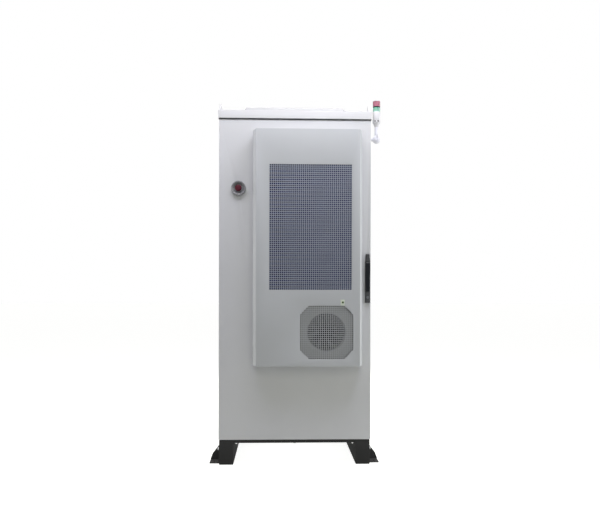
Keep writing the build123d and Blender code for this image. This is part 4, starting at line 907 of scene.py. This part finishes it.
def make_beacon_housing():
    (low, high), (ring_low, ring_high), (cap_low, cap_high) = sorted(islands("beacon_housing"),
                                                                     key=lambda b: b[0].z)
    middle = centre(low, high)
    place = (middle.x, middle.y, 0)
    r = (high.x - low.x) / 2
    cone = low.z + CONE_HEIGHT
    bm = bmesh.new()
    shell = outline(low.z, BEACON_FOOT) + outline(cone, BEACON_SHOULDER, r) + outline(high.z, BEACON_TOP, r)
    lathe(bm, shell + [(0, high.z)], place, "Z", BEACON_STEPS)
    cap = [(0, cap_low.z)] + outline(cap_low.z, ((0, 0), (0, 1.5)), r)
    cap += outline(cap_high.z, ((-1, -1.6), (-3.4, -0.4), (-6, 0)), r) + [(0, cap_high.z)]
    lathe(bm, cap, place, "Z", BEACON_STEPS)
    add_piece("beacon_body", bm, "beacon_shell", "beacon", ("beacon_housing",))
    bm = bmesh.new()
    ring_r = (ring_high.x - ring_low.x) / 2
    ring = [(0, ring_low.z)] + outline(ring_low.z, ((-0.8, 0), (0, 1)), ring_r)
    ring += outline(ring_high.z, ((0, -1), (-0.8, 0)), ring_r) + [(0, ring_high.z)]
    lathe(bm, ring, place, "Z", BEACON_STEPS)
    add_piece("beacon_ring", bm, "fan_plastic", "beacon")
    bm = bmesh.new()
    # dark boxes on the housing: painted shade of vent openings
    for degrees, wide in BEACON_VENT_SHADES:
        spin = Matrix.Translation((middle.x, middle.y, cone + 9 * MM))
        spin = spin @ Matrix.Rotation(math.radians(degrees), 4, "Z")
        made = bmesh.ops.create_cube(bm, size=1.0)["verts"]
        for vert in made:
            size = Vector((wide * MM, 3 * MM, 7 * MM))
            vert.co = spin @ (vert.co * size + Vector((0, 1.4 * MM - r, 0)))
    add_piece("beacon_vent_shade", bm, "dark_mark", "beacon")


# ---------------------------------------------------------------- bolts and screws
BOLT_FLATS = 0.8  # radius of the hexagon, as a share of the washer's


def make_bolts():
    bm = bmesh.new()
    for low, high in islands("plinth_bolts"):
        size, middle = high - low, centre(low, high)
        if size.x < size.z:
            sign = 1 if middle.x > 0 else -1
            seat = (low.x if sign > 0 else high.x, middle.y, middle.z)
            hex_bolt(bm, seat, "X", sign, size.z / 2 * BOLT_FLATS, size.x)
        else:
            hex_bolt(bm, (middle.x, middle.y, high.z), "Z", -1, size.y / 2 * BOLT_FLATS, size.z)
    add_piece("hex_bolts", bm, "fastener", "cabinet", ("plinth_bolts",), angle=25)


# the screw's dome and its recess, as shares of its radius and of its height
SCREW_DOME = ((0, 0), (1, 0), (1, 0.2), (0.93, 0.5), (0.75, 0.78), (0.45, 0.96), (0.3, 1), (0.24, 0.35),
              (0, 0.3))


def make_screws():
    bm = bmesh.new()
    for low, high in islands("panel_screws"):
        size = high - low
        place = centre(low, high)
        k = 0 if size.x < size.y else 1
        seat, tip = (low[k], high[k]) if place[k] > 0 else (high[k], low[k])
        place[k] = 0
        profile = [(size.z / 2 * out, seat + (tip - seat) * up) for out, up in SCREW_DOME]
        lathe(bm, profile, place, "XY"[k], 24)
    add_piece("dome_screws", bm, "fastener", "cabinet", ("panel_screws",))


# ---------------------------------------------------------------- modules and controls behind the door
BEZEL_DEEP = 4 * MM
BEZEL_INSET = 6 * MM
VENT_SLOTS = 9
VENT_PITCH = 9 * MM
VENT_HALF = 150 * MM
TERMINAL_OUT = 200 * MM
TERMINAL_DROP = 60 * MM
TERMINAL_HALF = 15 * MM
LED_COUNT = 4
LED_PITCH = 14 * MM
LED_SHAPE = ((0, -1.6), (2.2, -1.4), (3, -0.4), (3, 1), (0, 1))
DISPLAY_HALF = 45 * MM


def make_module_fronts():
    boxes = sorted(islands("battery_modules"), key=lambda b: b[0].z)
    cases, marks, caps, leds = bmesh.new(), bmesh.new(), bmesh.new(), bmesh.new()
    for low, high in boxes:
        front = low.y + BEZEL_DEEP
        sunk = front + 1 * MM
        add_box(cases, (low.x, front + 3 * MM, low.z), high, 2.5 * MM, 3)
        add_box(cases, (low.x + BEZEL_INSET, front, low.z + BEZEL_INSET),
                (high.x - BEZEL_INSET, front + BEZEL_DEEP, high.z - BEZEL_INSET), 1.2 * MM)
        # the vent slots are dark strips on the bezel: painted shade of open slots
        for k in range(VENT_SLOTS):
            z = low.z + 34 * MM + k * VENT_PITCH
            add_box(marks, (-VENT_HALF, front - 0.4 * MM, z), (VENT_HALF, sunk, z + 4 * MM), 0.3 * MM)
        for side in (-1, 1):
            x = side * TERMINAL_OUT
            z = high.z - TERMINAL_DROP
            add_box(caps, (x - TERMINAL_HALF, low.y, z - TERMINAL_HALF),
                    (x + TERMINAL_HALF, sunk, z + TERMINAL_HALF), 1.5 * MM)
        for k in range(LED_COUNT):
            x = (k - (LED_COUNT - 1) / 2) * LED_PITCH
            lathe(leds, outline(front, LED_SHAPE), (x, 0, high.z - 40 * MM), "Y", 16)
        add_box(marks, (-DISPLAY_HALF, front - 0.5 * MM, high.z - 100 * MM),
                (DISPLAY_HALF, sunk, high.z - 62 * MM), 1 * MM)
    add_piece("module_cases", cases, "module_case", "cabinet", ("battery_modules",))
    add_piece("module_vent_shade_and_display", marks, "dark_mark", "cabinet")
    add_piece("module_terminals", caps, "orange_plastic", "cabinet")
    add_piece("module_leds", leds, "lens_green", "cabinet")


def make_module_pulls():
    """Upright grips and the stubs that carry them."""
    bm = bmesh.new()
    for low, high in islands("module_handles"):
        size, middle = high - low, centre(low, high)
        if size.z > size.y * 2:
            grip = outline(low.z, ((0, 0), (4.5, 0), (6, 2), (6, 24), (5, 30)))
            grip += outline(high.z, ((5, -30), (6, -24), (6, -2), (4.5, 0), (0, 0)))
            lathe(bm, grip, (middle.x, middle.y, 0), "Z", 20)
        else:
            stub = outline(low.y, ((0, -3), (4.5, -3)))
            stub += outline(high.y, ((4.5, -4), (6, -1), (6, 0), (0, 0)))
            lathe(bm, stub, (middle.x, 0, middle.z), "Y", 20)
    add_piece("module_pulls", bm, "black_plastic", "cabinet", ("module_handles",))


FUSES = 9
FUSE_PITCH = 40 * MM
FIRST_FUSE = -265 * MM
FUSE_ROW = (-290, 140)
# spans in millimetres, in Y from the rack's front and in Z from the breaker's middle. The fuse's parts have
# their own span in X first
# the recess is a dark block behind the fuses: painted shade
FUSE_RECESS_SHADE = ((-3, 1), (-52, 52))
FUSE_BODY = ((0, 34), (-16, -2), (-40, 40))
FUSE_NOSE = ((3, 31), (-22, -12), (-22, 22))
FUSE_TOGGLE = ((11, 23), (-28, -20), (-2, 14))


def add_span_box(bm, origin, spans, bevel):
    """A block given by its spans in x, y and z from an origin, in millimetres."""
    low, high = [origin + Vector([span[end] for span in spans]) * MM for end in (0, 1)]
    add_box(bm, low, high, bevel)


def make_controls():
    bm = clean_copy("control_box")
    bevel_sharp(bm, 1.0 * MM)
    add_piece("control_case", bm, "control_case", "cabinet", ("control_box",))
    origin = Vector((0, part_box("battery_rack")[0].y, centre(*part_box("breaker_toggle")).z))
    bm, dark = bmesh.new(), bmesh.new()
    # a dark block as painted shade of the recess; the toggles are dark plastic
    add_span_box(dark, origin, (FUSE_ROW, *FUSE_RECESS_SHADE), 2 * MM)
    for k in range(FUSES):
        place = origin + Vector((FIRST_FUSE + k * FUSE_PITCH, 0, 0))
        for group, spans in ((bm, FUSE_BODY), (bm, FUSE_NOSE), (dark, FUSE_TOGGLE)):
            add_span_box(group, place, spans, 1.5 * MM)
    add_piece("fuse_row", bm, "breaker_plastic", "cabinet")
    add_piece("fuse_toggles_and_recess_shade", dark, "dark_mark", "cabinet")


# CAD nodes that are shown as they are
KEPT = [
    "cable_glands", "busbars", "hinge_pins", "handle_spindle", "handle_lever_pin", "lock_rod_upper",
    "lock_rod_lower", "estop_plunger", "condenser_fan_motor", "refrigerant_pipes",
    "evaporator_blower_wheel", "breaker_toggle",
]


def dress_kept():
    for node in KEPT:
        dress(nodes[node].data, slots[node])


soften_frame()
make_grilles()
make_coils()
make_fan()
make_shroud()
make_compressor()
make_stop_guard()
make_stop_head()
make_status()
make_handle()
for lens in ("lens_green", "lens_red"):
    make_beacon_lens("beacon_" + lens, lens)
make_beacon_housing()
make_bolts()
make_screws()
make_module_fronts()
make_module_pulls()
make_controls()
dress_kept()
